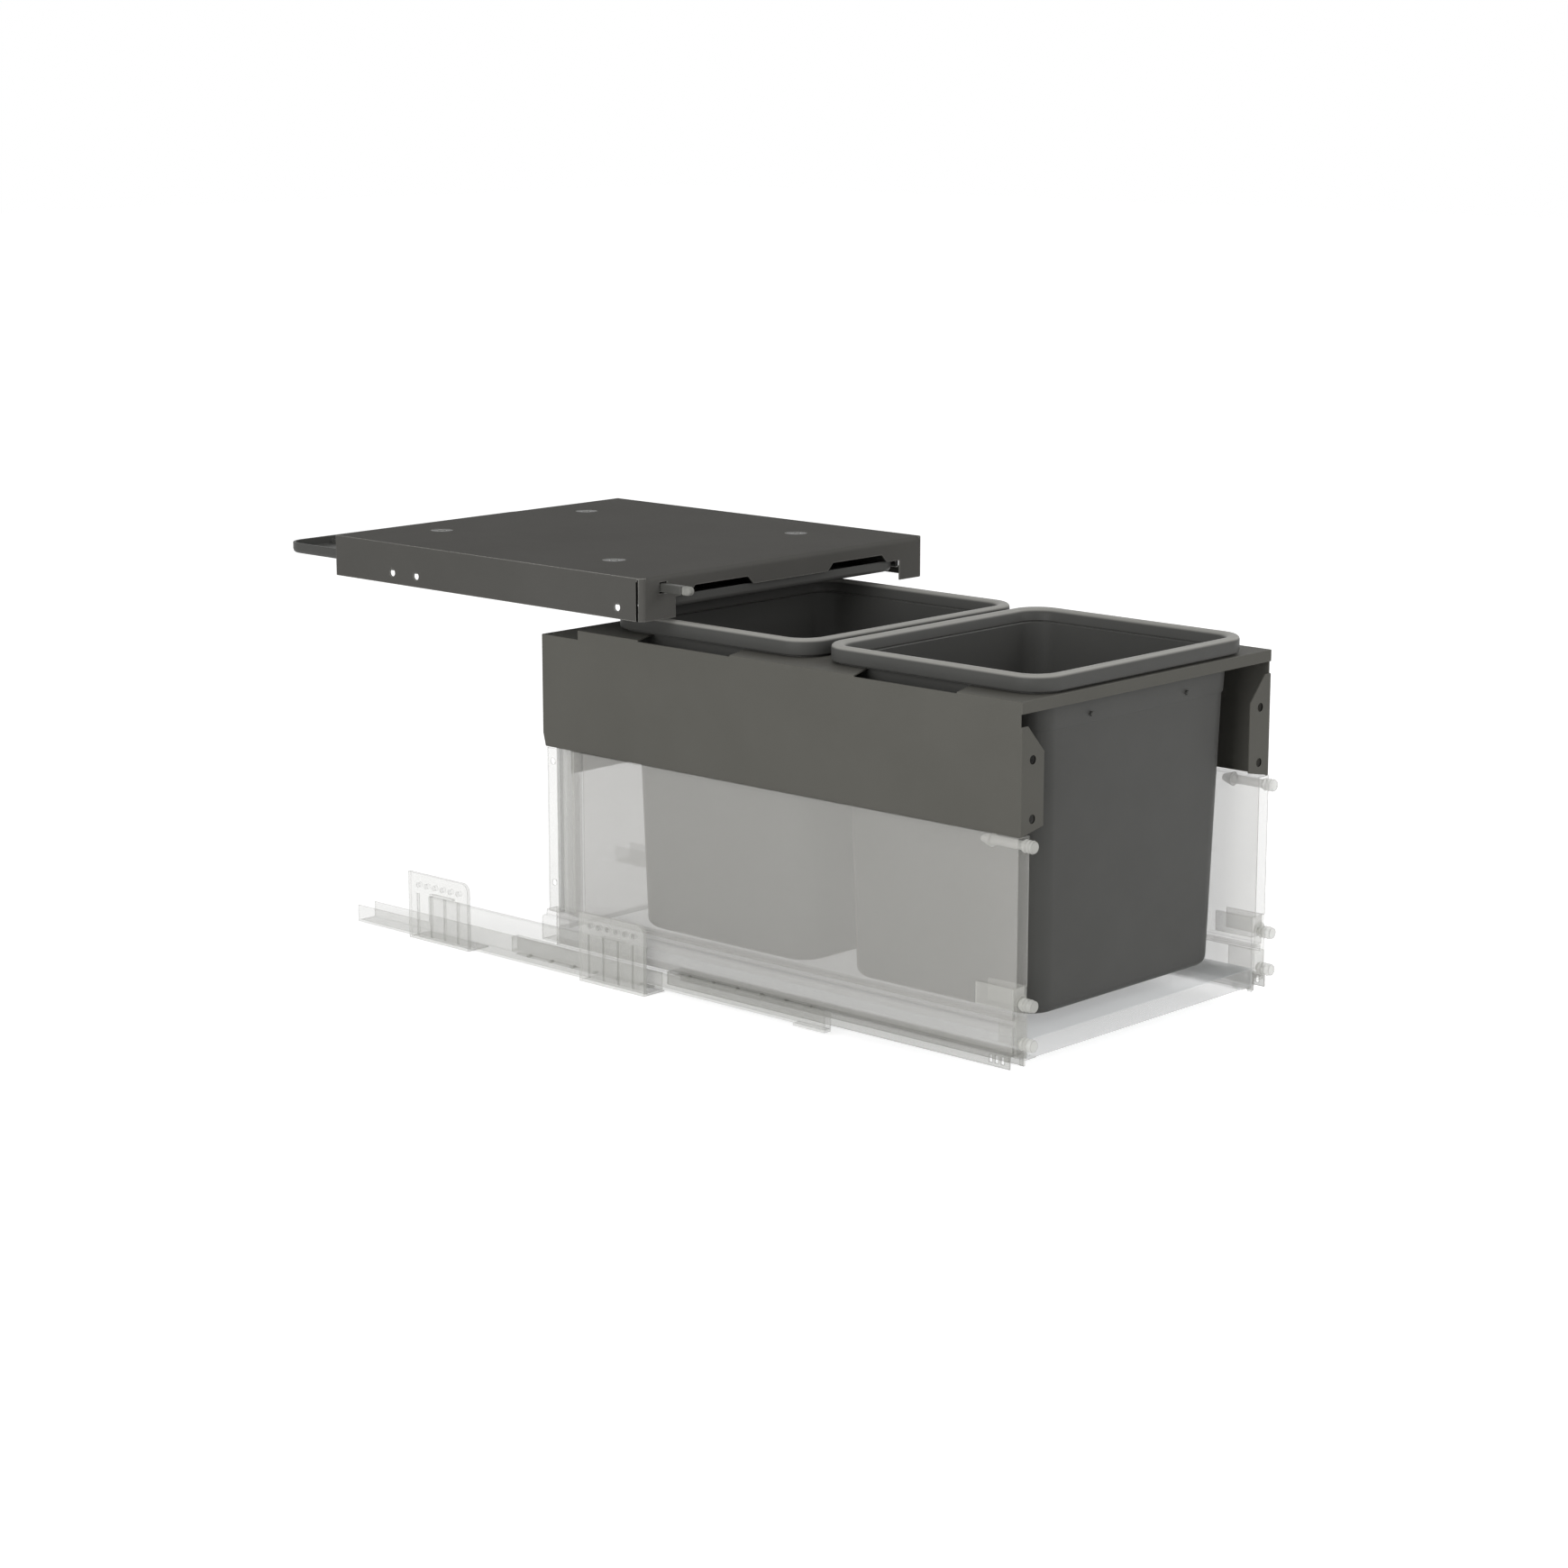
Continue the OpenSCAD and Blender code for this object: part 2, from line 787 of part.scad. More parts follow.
module cage_strip(y0, z) {
    pocket = roller_d / 2 + pocket_side_gap;
    color("#e0e0dc") difference() {
        block(cage_u0, cage_u0 + cage_w, y0, y0 + cage_len, z - cage_t / 2, z + cage_t / 2);
        for (i = [0:roller_count - 1]) {
            block(
                roller_u0 - pocket_side_gap, roller_u0 + roller_len + pocket_side_gap,
                roller_y(y0, i) - pocket, roller_y(y0, i) + pocket, z - cage_t, z + cage_t
            );
        }
    }
}

module cage_rollers(y0, z) {
    color("#a8a8a4") for (i = [0:roller_count - 1]) {
        bar_x(roller_u0, roller_u0 + roller_len, roller_y(y0, i), z, roller_d);
    }
}

lower_roller_z = cabinet_rail_floor + roller_room / 2;
upper_roller_z = mid_z1 + roller_room / 2;

module drawer_rail() {
    low = drawer_rail_top - drawer_rail_h;
    color("#dadad6") on_drawer() difference() {
        union() {
            block(
                drawer_rail_u0, drawer_rail_u1, rail_y0, rail_y0 + rail_len,
                drawer_rail_top - rail_sheet, drawer_rail_top
            );
            block(
                drawer_rail_u1 - rail_sheet, drawer_rail_u1, rail_y0, rail_y0 + rail_len,
                low, drawer_rail_top
            );
            block(
                drawer_rail_u0, drawer_rail_u0 + rail_sheet, rail_y0, rail_y0 + rail_len,
                low, drawer_rail_top
            );
        }
        for (i = [1:3]) {
            block(
                drawer_rail_u1 - rail_sheet - cut, drawer_rail_u1 + cut,
                rail_y0 + i * slot_pitch, rail_y0 + i * slot_pitch + slot_len,
                low + slot_len, low + slot_len + slot_h
            );
        }
    }
}

module rail_catch() {
    high = drawer_rail_top - free_gap;
    color("#b8b8b2") on_drawer() difference() {
        block(
            side_in + side_t, drawer_rail_u0, front_plate_t, front_plate_t + catch_len,
            high - catch_h, high
        );
        block(
            side_in + side_t - cut, drawer_rail_u0 + cut, front_plate_t + catch_len / 4,
            front_plate_t + catch_len * 3 / 4, high - catch_h - cut, high - catch_h / 2
        );
    }
}

// Bin frame

module bin_opening(i) {
    translate([0, bin_front_gap + i * bin_pitch + rim_len / 2]) {
        round_rect(
            2 * (rim_u - body_inset + opening_gap), rim_len - 2 * (body_inset - opening_gap),
            rim_corner - body_inset + opening_gap
        );
    }
}

// Finger recess beside a bin, open to the frame's edge
module finger_notch(i) {
    y0 = bin_front_gap + i * bin_pitch + notch_front;
    opening_u = rim_u - body_inset;
    polygon([
        [frame_u + cut, y0],
        [frame_u - frame_sheet, y0],
        [opening_u, y0 + notch_slant],
        [opening_u, y0 + notch_len + notch_widen],
        [frame_u - frame_sheet, y0 + notch_len],
        [frame_u + cut, y0 + notch_len]
    ]);
}

module frame_top() {
    plate_len_y = frame_len - rear_step_len;
    translate([0, 0, frame_z1 - frame_sheet]) linear_extrude(frame_sheet) difference() {
        translate([-frame_u, 0]) square([2 * frame_u, plate_len_y]);
        for (i = [0, 1]) {
            bin_opening(i);
            finger_notch(i);
            mirror([1, 0]) finger_notch(i);
        }
    }
    block(
        -frame_u, frame_u, plate_len_y - frame_sheet, plate_len_y,
        frame_z1 - rear_step_h - frame_sheet, frame_z1
    );
    block(
        -frame_u, frame_u, plate_len_y - frame_sheet, frame_len,
        frame_z1 - rear_step_h - frame_sheet, frame_z1 - rear_step_h
    );
}

// Side panel as an outline in Y and Z, with the step and the cut heel at the rear
module frame_side() {
    step_y = frame_len - rear_step_len;
    low_z = frame_z1 - rear_step_h;
    translate([frame_u - frame_sheet, 0, 0]) rotate([90, 0, 90]) linear_extrude(frame_sheet) polygon([
        [0, frame_z0],
        [frame_len - heel_w, frame_z0],
        [frame_len, frame_z0 + heel_h],
        [frame_len, low_z],
        [step_y, low_z],
        [step_y, frame_z1 - frame_sheet],
        [0, frame_z1 - frame_sheet]
    ]);
}

// Front flange with the holes for the door
module frame_flange() {
    top = frame_z1 - flange_top_drop;
    run_back(0, frame_sheet) difference() {
        polygon([
            [frame_u - flange_w, frame_z0 + flange_foot_rise],
            [frame_u, frame_z0],
            [frame_u, top],
            [frame_u - flange_w + flange_slant_w, top],
            [frame_u - flange_w + flange_edge_drop, top - flange_slant_h],
            [frame_u - flange_w, top - flange_slant_h - flange_edge_drop]
        ]);
        for (z = [0, door_hole_rise]) {
            translate([door_hole_u, frame_z0 + door_hole_z + z]) circle(d = door_hole_d, $fn = round_fn);
        }
    }
}

module bin_frame() {
    color("#5e5d58") on_drawer() {
        frame_top();
        block(-frame_u, frame_u, 0, frame_sheet, frame_z1 - lip_h, frame_z1);
        for (side = [-1, 1]) {
            on_side(side) {
                difference() {
                    frame_side();
                    block(
                        frame_u - frame_sheet - cut, frame_u + cut, -cut, frame_sheet,
                        frame_z1 - flange_top_drop, frame_z1 - lip_h
                    );
                }
                frame_flange();
            }
        }
        block(
            -rear_flange_u, rear_flange_u, frame_len - frame_sheet, frame_len,
            frame_z1 - rear_flange_drop, frame_z1 - rear_step_h
        );
    }
}

// Bins

// One slice of a bin with round corners, drawn in from the rim by dx and dy
module bin_slice(dx, dy, r, z, h = skin) {
    half_x = rim_u - dx - r;
    half_y = rim_len / 2 - dy - r;
    for (x = [-1, 1], y = [-1, 1]) {
        translate([x * half_x, y * half_y, z]) cylinder(r = r, h = h, $fn = hull_fn);
    }
}

// Tapered body, t inside its outer face, from z0 up to z1
module bin_body(t, z0, z1) {
    inset = body_inset + t + band_proud;
    low_x = inset + body_draft_x;
    low_y = inset + body_draft_y;
    r = rim_corner - body_inset / 2 - t;
    hull() {
        bin_slice(inset, inset, r, z1);
        bin_slice(low_x, low_y, r, z0 + foot_round);
        bin_slice(low_x + foot_round / 4, low_y + foot_round / 4, r, z0 + foot_round / 3);
        bin_slice(low_x + foot_round, low_y + foot_round, r - foot_round / 2, z0);
    }
}

module bin_rim() {
    low_roll = rim_roll / 4;
    hull() {
        bin_slice(0, 0, rim_corner, rim_z0, rim_h - rim_roll_h);
        bin_slice(low_roll, low_roll, rim_corner - low_roll, rim_z1 - rim_roll_h / 3 - skin);
        bin_slice(rim_roll, rim_roll, rim_corner - rim_roll, rim_z1 - skin);
    }
    // Seat that stands on the frame
    translate([0, 0, frame_z1]) linear_extrude(rim_seat_h) {
        round_rect(
            2 * (rim_u - rim_seat_in), rim_len - 2 * rim_seat_in, rim_corner - rim_seat_in
        );
    }
}

module bin_band() {
    hull() {
        bin_slice(body_inset, body_inset, rim_corner - body_inset / 2, rim_z0);
        bin_slice(
            body_inset + band_proud, body_inset + band_proud, rim_corner - body_inset / 2,
            frame_z1 - band_h
        );
    }
}

module bin_mouth() {
    inset = body_inset + bin_wall;
    hull() {
        bin_slice(inset, inset, rim_corner - body_inset / 2 - bin_wall, rim_z1 - ledge_drop);
        bin_slice(inset - ledge_w, inset - ledge_w, rim_corner - body_inset / 2, rim_z1 + cut);
    }
}

module bin() {
    difference() {
        union() {
            bin_body(0, bin_z0, rim_z0);
            bin_band();
            bin_rim();
            for (side = [-1, 1]) {
                bar_y(
                    side * nub_spread / 2, body_inset - rim_len / 2 - nub_out,
                    body_inset - rim_len / 2 + bin_wall, frame_z1 - nub_drop, nub_d
                );
            }
        }
        bin_body(bin_wall, bin_z0 + bin_wall, rim_z1 - ledge_drop);
        bin_mouth();
    }
}

module place_bin(i) {
    on_drawer() translate([0, bin_front_gap + i * bin_pitch + rim_len / 2, 0]) bin();
}

module front_bin() {
    color("#575755") place_bin(0);
}

module rear_bin() {
    color("#575755") place_bin(1);
}

// Drawer

module side_outline(t) {
    out = side_in + side_w - t;
    in = side_in + t;
    neck = out - side_neck_in;
    low = side_z0 + t;
    high = panel_z0 - t;
    shoulder_z = high - side_neck_h;
    polygon([
        [in, low],
        [out, low],
        [out, shoulder_z - side_shoulder],
        [out - side_shoulder, shoulder_z],
        [neck, shoulder_z],
        [neck, high],
        [in, high]
    ]);
}

module drawer_side() {
    color("#c4c4be") on_drawer() {
        run_back(side_front_gap, side_len) difference() {
            side_outline(0);
            side_outline(side_t);
        }
        // Web and ledge that carry the floor
        block(
            side_in, side_in + side_t, side_front_gap, frame_len,
            floor_z0 - side_t, side_z0 + side_t
        );
        block(
            side_in - ledge_under_w, side_in + side_t, side_front_gap, frame_len,
            floor_z0 - side_t, floor_z0
        );
    }
}

// Double-skinned panel, open at its front and rear ends
module raised_panel() {
    y1 = frame_len - panel_rear_gap;
    color("#dededa") on_drawer() difference() {
        block(panel_u0, panel_u1, panel_y0, y1, panel_z0, frame_z0);
        block(
            panel_u0 + panel_skin, panel_u1 - panel_skin, panel_y0 - cut, y1 + cut,
            panel_z0 + panel_skin, frame_z0 - panel_skin
        );
        // Foot set back behind the front bracket and the cap
        block(
            panel_u0 - cut, panel_u1 + cut, panel_y0 - cut, front_plate_t + cap_t,
            panel_z0 - cut, panel_z0 + cap_rise + cap_h
        );
    }
}

module bottom_panel() {
    color("#d6d6d3") on_drawer() {
        block(-side_in, side_in, floor_front_gap, back_y1, floor_z0, floor_z1);
    }
}

module back_panel() {
    color("#c1c0bb") on_drawer() {
        block(-side_in, side_in, back_y1 - back_t, back_y1, floor_z1, frame_z0);
    }
}

// Stepped post between the raised panel and the back
module rear_post() {
    y1 = post_y0 + post_w;
    mid_y = post_y0 + post_w / 2;
    outer = panel_u1;
    step = outer - post_step;
    color("#d2d2ce") on_drawer() difference() {
        translate([0, 0, panel_z0]) linear_extrude(panel_h) polygon([
            [side_in, post_y0],
            [step, post_y0],
            [step, mid_y],
            [outer, mid_y],
            [outer, y1],
            [outer - post_t, y1],
            [outer - post_t, mid_y + post_t],
            [step - post_t, mid_y + post_t],
            [step - post_t, post_y0 + post_t],
            [side_in + post_t, post_y0 + post_t],
            [side_in + post_t, y1],
            [side_in, y1]
        ]);
        for (share = post_hole_shares) {
            bar_x(
                outer - post_t - cut, outer + cut, (mid_y + y1) / 2,
                panel_z0 + share * panel_h, post_hole_d
            );
        }
    }
}

fixing_z0 = side_z0 + lower_fixing_z;
fixing_heights = [fixing_z0, fixing_z0 + fixing_pitch];

module front_bracket() {
    color("#c0c0ba") on_drawer() difference() {
        union() {
            block(
                side_in + cap_t, panel_u1, 0, front_plate_t,
                side_z0 - front_plate_drop, fixing_heights[1]
            );
            bar_y(fixing_u, 0, front_plate_t, fixing_heights[1], 2 * lug_r);
            block(
                side_in + 2 * side_t, side_in + 3 * side_t, 0, leg_len,
                side_z0 + 2 * side_t, panel_z0 - 2 * side_t
            );
        }
        for (z = fixing_heights) {
            bar_y(fixing_u, -cut, front_plate_t + cut, z, shank_d);
        }
    }
}

// Barbed dowel, a turned outline with rings, pointing to the front
module barbed(d, length) {
    count = floor(length / barb_pitch);
    translate([0, length, 0]) rotate([90, 0, 0]) rotate_extrude($fn = round_fn) polygon(concat(
        [[0, 0]],
        [
            for (i = [0:count - 1]) each [
                [d / 2 - barb_depth, i * barb_pitch],
                [d / 2, i * barb_pitch + barb_pitch / 2]
            ]
        ],
        [[d / 2 - barb_depth, length], [0, length]]
    ));
}

module lower_front_fixings() {
    color("#c8c8c2") on_drawer() for (side = [-1, 1], z = fixing_heights) {
        on_side(side) {
            translate([fixing_u, -dowel_out, z]) barbed(dowel_d, dowel_out);
            bar_y(fixing_u, 0, front_plate_t, z, shank_d);
        }
    }
}

module upper_front_fixings() {
    z = frame_z0 - panel_skin - upper_dowel_d / 2 - free_gap;
    head_y = panel_y0 + upper_shank_len;
    color("#9a9a95") on_drawer() for (side = [-1, 1]) {
        on_side(side) {
            translate([fixing_u, -upper_dowel_out, z]) barbed(upper_dowel_d, upper_dowel_out);
            bar_y(fixing_u, 0, head_y, z, upper_shank_d);
            translate([fixing_u, head_y + upper_head_len, z]) rotate([90, 0, 0]) {
                cylinder(d1 = upper_head_neck_d, d2 = upper_head_d, h = upper_head_len, $fn = round_fn);
            }
        }
    }
}

// Clip over the foot of the raised panel's front edge
module cover_cap() {
    z0 = panel_z0 + cap_rise;
    y0 = front_plate_t;
    color("#b4b4ae") on_drawer() {
        block(panel_u1, panel_u1 + cap_t, y0, y0 + cap_len, z0, z0 + cap_h);
        block(panel_u0 - cap_t, panel_u0, y0, y0 + cap_len, z0, z0 + cap_h);
        block(panel_u0 - cap_t, panel_u1 + cap_t, y0, y0 + cap_t, z0, z0 + cap_h);
    }
}

rear_bracket_y0 = bracket_y0 + bracket_steps * hole_grid;

lid_housing();
guide_bushes();
on_side(-1) slot_guide();  // slot_guide_left
on_side(1) slot_guide();  // slot_guide_right
on_side(-1) cabinet_rail();  // cabinet_rail_left
on_side(1) cabinet_rail();  // cabinet_rail_right
on_side(-1) wall_bracket(bracket_y0);  // wall_bracket_front_left
on_side(-1) wall_bracket(rear_bracket_y0);  // wall_bracket_rear_left
on_side(1) wall_bracket(bracket_y0);  // wall_bracket_front_right
on_side(1) wall_bracket(rear_bracket_y0);  // wall_bracket_rear_right
push_rod();
rod_tip();
on_side(-1) lift_cam();  // lift_cam_left
on_side(1) lift_cam();  // lift_cam_right
cross_bar();
lid_plate();
guide_studs();
cam_pins();
lift_springs();
on_side(-1) mid_rail();  // mid_rail_left
on_side(-1) mid_stop();  // mid_stop_left
on_side(1) mid_rail();  // mid_rail_right
on_side(1) mid_stop();  // mid_stop_right
on_side(-1) cage_strip(lower_cage_y0, lower_roller_z);  // lower_cage_left
on_side(-1) cage_rollers(lower_cage_y0, lower_roller_z);  // lower_rollers_left
on_side(1) cage_strip(lower_cage_y0, lower_roller_z);  // lower_cage_right
on_side(1) cage_rollers(lower_cage_y0, lower_roller_z);  // lower_rollers_right
on_side(-1) cage_strip(upper_cage_y0, upper_roller_z);  // upper_cage_left
on_side(-1) cage_rollers(upper_cage_y0, upper_roller_z);  // upper_rollers_left
on_side(1) cage_strip(upper_cage_y0, upper_roller_z);  // upper_cage_right
on_side(1) cage_rollers(upper_cage_y0, upper_roller_z);  // upper_rollers_right
bin_frame();
front_bin();
rear_bin();
on_side(-1) drawer_side();  // drawer_side_left
on_side(1) drawer_side();  // drawer_side_right
on_side(-1) raised_panel();  // raised_panel_left
on_side(1) raised_panel();  // raised_panel_right
bottom_panel();
back_panel();
on_side(-1) rear_post();  // rear_post_left
on_side(1) rear_post();  // rear_post_right
on_side(-1) front_bracket();  // front_bracket_left
on_side(1) front_bracket();  // front_bracket_right
on_side(-1) cover_cap();  // cover_cap_left
on_side(1) cover_cap();  // cover_cap_right
upper_front_fixings();
lower_front_fixings();
on_side(-1) drawer_rail();  // drawer_rail_left
on_side(1) drawer_rail();  // drawer_rail_right
on_side(-1) rail_catch();  // rail_catch_left
on_side(1) rail_catch();  // rail_catch_right
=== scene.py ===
import logging
import math
from collections.abc import Callable
from dataclasses import dataclass, replace
from enum import Enum

import bmesh
import bpy
from bmesh.types import BMEdge, BMesh, BMVert
from bpy.types import ID, Material, MeshPolygon, NodeOutputs, NodeSocket, NodeTree, Object
from mathutils import Matrix, Vector


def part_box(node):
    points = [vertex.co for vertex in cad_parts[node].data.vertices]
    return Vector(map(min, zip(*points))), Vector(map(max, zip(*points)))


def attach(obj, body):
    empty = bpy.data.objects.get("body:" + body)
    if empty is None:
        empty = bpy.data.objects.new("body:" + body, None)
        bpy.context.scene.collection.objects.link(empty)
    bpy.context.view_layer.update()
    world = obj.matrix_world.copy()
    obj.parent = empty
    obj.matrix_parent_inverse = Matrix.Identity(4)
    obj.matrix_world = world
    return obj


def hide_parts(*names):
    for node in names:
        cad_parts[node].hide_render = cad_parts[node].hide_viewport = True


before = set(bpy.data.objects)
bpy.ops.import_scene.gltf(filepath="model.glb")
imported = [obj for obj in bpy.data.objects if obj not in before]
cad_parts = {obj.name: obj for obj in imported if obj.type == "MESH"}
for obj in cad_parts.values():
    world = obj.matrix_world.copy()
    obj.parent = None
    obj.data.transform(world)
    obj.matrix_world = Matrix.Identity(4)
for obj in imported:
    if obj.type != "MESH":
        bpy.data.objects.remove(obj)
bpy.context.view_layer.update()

log = logging.getLogger("waste_unit")

MM = 0.001
MERGE_DISTANCE = 0.002 * MM
# Faces that turn less than this are one flat
FLAT_ANGLE = math.radians(0.6)
# Edges that turn less than these are shaded smooth; the first also tells which are rounded
CREASE_ANGLE = math.radians(32)
BIN_ANGLE = math.radians(35)
ROLLER_ANGLE = math.radians(40)
EASED_ANGLE = math.radians(50)
# How alike the rounded and the true normal are where an edge's mask begins and where it is full
EDGE_BEGINS, EDGE_FULL = 0.995, 0.86
EDGE_SAMPLES = 4
CLOUD_DETAIL, GRAIN_DETAIL, NOISE_ROUGHNESS = 3.0, 2.0, 0.55
WHITE = (1.0, 1.0, 1.0, 1.0)

Triple = tuple[float, float, float]
Pairs = tuple[tuple[float, float], ...]
# Low and high corner, in mm
Box = tuple[Triple, Triple]


class Side(Enum):
    """The two hands of the unit, seen from the front."""

    LEFT = -1
    RIGHT = 1

    @property
    def label(self) -> str:
        """The word that ends the names of this side's pieces."""
        return self.name.lower()


class Grain(Enum):
    """The ways a surface's fine texture runs."""

    EVEN = (1.0, 1.0, 1.0)
    ALONG_RUN = (1.0, 0.06, 1.0)
    UPRIGHT = (1.0, 1.0, 0.12)


def linear(hex_colour: str) -> tuple[float, float, float, float]:
    """Turns an sRGB hex colour into a linear one.

    Args:
        hex_colour: six hex digits, such as "5e5d58".

    Returns:
        Red, green, blue and an alpha of 1.
    """
    channels = [int(hex_colour[i : i + 2], 16) / 255 for i in (0, 2, 4)]
    red, green, blue = (
        c / 12.92 if c <= 0.04045 else ((c + 0.055) / 1.055) ** 2.4 for c in channels
    )
    return red, green, blue, 1.0


def blank_tree(owner: ID) -> NodeTree:
    """Turns on the nodes of a material or world and empties them."""
    owner.use_nodes = True
    owner.node_tree.nodes.clear()
    return owner.node_tree


def add_node(tree: NodeTree, kind: str, inputs: dict, **settings) -> NodeOutputs:
    """Adds one node to a tree with its settings, values and links.

    Args:
        tree: the tree that takes the node.
        kind: the node's type name.
        inputs: socket name or number to a value, or to the socket that feeds it.
        settings: the node's own properties.

    Returns:
        The new node's output sockets.
    """
    made = tree.nodes.new(kind)
    for name, value in settings.items():
        setattr(made, name, value)
    for key, value in inputs.items():
        if isinstance(value, NodeSocket):
            tree.links.new(value, made.inputs[key])
        else:
            made.inputs[key].default_value = value
    return made.outputs


@dataclass(frozen=True)
class Finish:
    """A surface finish: what it is made of and how it meets the light.

    The edge tone is the colour of its edges, which are edge_mm wide: worn on some finishes, a
    painted highlight on the lid coat and the bushes, and painted shade on the ribbed moulding.
    patch_mm is the size of its faint cloudiness and grain_mm that of its fine texture, which stands
    grain_depth_mm high. Roughness is given at the texture's low and high spots, alpha on faces and
    on edges. The crest is a band of heights in mm over which a rim turns to the crest tone, a
    painted highlight.
    """

    name: str
    tone: str
    cloud_tone: str
    edge_tone: str
    roughness: tuple[float, float]
    patch_mm: float
    grain_mm: float
    grain_depth_mm: float
    grain: Grain = Grain.EVEN
    edge_mm: float = 0.8
    metallic: float = 0.0
    specular: float = 0.5
    alpha: tuple[float, float] = (1.0, 1.0)
    crest: tuple[float, float] | None = None
    crest_highlight_tone: str = "ffffff"

    def build(self) -> Material:
        """Makes the material once and gives it back each time after that.

        Returns:
            The material with its node tree.
        """
        known = bpy.data.materials.get(self.name)
        if known is not None:
            return known
        material = bpy.data.materials.new(self.name)
        tree = blank_tree(material)
        place = add_node(tree, "ShaderNodeTexCoord", {})["Object"]
        run = {"Vector": place, "Scale": self.grain.value}
        along = add_node(tree, "ShaderNodeMapping", run)["Vector"]
        fine = self.noise(tree, along, self.grain_mm, GRAIN_DETAIL)
        edge = self.edges(tree)
        relief = {"Height": fine, "Strength": 1.0, "Distance": self.grain_depth_mm * MM}
        surface = {
            "Base Color": self.colour(tree, place, edge),
            "Metallic": self.metallic,
            "Specular IOR Level": self.specular,
            "Roughness": self.spread(tree, fine, self.roughness),
            "Normal": add_node(tree, "ShaderNodeBump", relief)["Normal"],
        }
        if self.alpha != (1.0, 1.0):
            surface["Alpha"] = self.spread(tree, edge, self.alpha)
        shader = add_node(tree, "ShaderNodeBsdfPrincipled", surface)
        add_node(tree, "ShaderNodeOutputMaterial", {"Surface": shader["BSDF"]})
        return material

    def noise(self, tree: NodeTree, place: NodeSocket, size_mm: float, detail: float) -> NodeSocket:
        """Adds a noise whose spots are about size_mm across.

        Args:
            tree: the material's tree.
            place: the coordinates it reads.
            size_mm: the width of a spot.
            detail: how many finer layers it has.

        Returns:
            The noise from 0 to 1.
        """
        spots = {"Vector": place, "Scale": 1 / (size_mm * MM), "Detail": detail}
        spots["Roughness"] = NOISE_ROUGHNESS
        return add_node(tree, "ShaderNodeTexNoise", spots)["Fac"]

    def edges(self, tree: NodeTree) -> NodeSocket:
        """Finds the piece's own edges from how far a rounded normal leaves the true one.

        Args:
            tree: the material's tree.

        Returns:
            A mask, 0 on flat faces and 1 on edges.
        """
        width = {"Radius": self.edge_mm * MM}
        rounded = add_node(tree, "ShaderNodeBevel", width, samples=EDGE_SAMPLES)["Normal"]
        true = add_node(tree, "ShaderNodeNewGeometry", {})["Normal"]
        both = {0: rounded, 1: true}
        alike = add_node(tree, "ShaderNodeVectorMath", both, operation="DOT_PRODUCT")["Value"]
        span = {"Value": alike, "From Min": EDGE_BEGINS, "From Max": EDGE_FULL}
        return add_node(tree, "ShaderNodeMapRange", span)["Result"]

    def spread(self, tree: NodeTree, mask: NodeSocket, ends: tuple[float, float]) -> NodeSocket:
        """Turns a mask from 0 to 1 into a value between two ends.

        Args:
            tree: the material's tree.
            mask: the mask.
            ends: the values at 0 and at 1.

        Returns:
            The value's socket.
        """
        span = {"Value": mask, "To Min": ends[0], "To Max": ends[1]}
        return add_node(tree, "ShaderNodeMapRange", span)["Result"]

    def colour(self, tree: NodeTree, place: NodeSocket, edge: NodeSocket) -> NodeSocket:
        """Lays the cloud tone, the edge tone and, where there is one, the crest's painted highlight
        over the tone.

        Args:
            tree: the material's tree.
            place: the coordinates it reads.
            edge: the edges' mask.

        Returns:
            The colour socket.
        """
        cloud = self.noise(tree, place, self.patch_mm, CLOUD_DETAIL)
        # The edge tone is wear on some finishes and a painted highlight or painted shade on others
        layers = [(cloud, self.cloud_tone), (edge, self.edge_tone)]
        # The crest band is a painted highlight that lightens the rim near its top
        if self.crest is not None:
            height = add_node(tree, "ShaderNodeSeparateXYZ", {"Vector": place})["Z"]
            low, high = self.crest
            band = {"Value": height, "From Min": low * MM, "From Max": high * MM}
            kind = "ShaderNodeMapRange"
            crest = add_node(tree, kind, band, interpolation_type="SMOOTHSTEP")["Result"]
            layers.append((crest, self.crest_highlight_tone))
        colour = linear(self.tone)
        for mask, tone in layers:
            mix = {0: mask, 6: colour, 7: linear(tone)}
            colour = add_node(tree, "ShaderNodeMix", mix, data_type="RGBA")[2]
        return colour


# Matt polyester powder on folded sheet: fine orange peel, 1.4 mm from top to top as on the real
# coat, a soft sheen, edges rubbed lighter
SIDE_COAT = Finish(
    "powder_coat_dark_matt",
    tone="5a5954",
    cloud_tone="62615c",
    edge_tone="67665f",
    roughness=(0.48, 0.6),
    patch_mm=70,
    grain_mm=1.4,
    grain_depth_mm=0.03,
    specular=0.08,
)
# The same powder on the lid unit, which lies nearly edge-on to the eye: its tone a little deeper as
# painted shade on its top, duller, and its edges and front bend lightened as a painted highlight
SHADED_LID_COAT = replace(
    SIDE_COAT,
    name="powder_coat_dark_lid",
    tone="565552",
    cloud_tone="5d5c59",
    edge_tone="a09f9a",
    roughness=(0.5, 0.62),
    patch_mm=80,
    edge_mm=1.2,
    specular=0.005,
)
# Moulded polypropylene: spark-eroded grain, faint flow marks up the wall, a satin rim with a
# painted highlight along its crest; the real grain of 0.2 mm is drawn 0.7 mm wide, so that it shows
BIN_MOULDING = Finish(
    "polypropylene_grained_dark",
    tone="4e4e4c",
    cloud_tone="555553",
    edge_tone="565653",
    roughness=(0.36, 0.5),
    patch_mm=55,
    grain_mm=0.7,
    grain_depth_mm=0.02,
    grain=Grain.UPRIGHT,
    specular=0.12,
    crest=(317.5, 319.8),
    crest_highlight_tone="a09f9a",
)
# The same moulding on the plate, without the rims' painted crest highlight
PLATE_MOULDING = replace(BIN_MOULDING, name="polypropylene_grained_plate", crest=None)
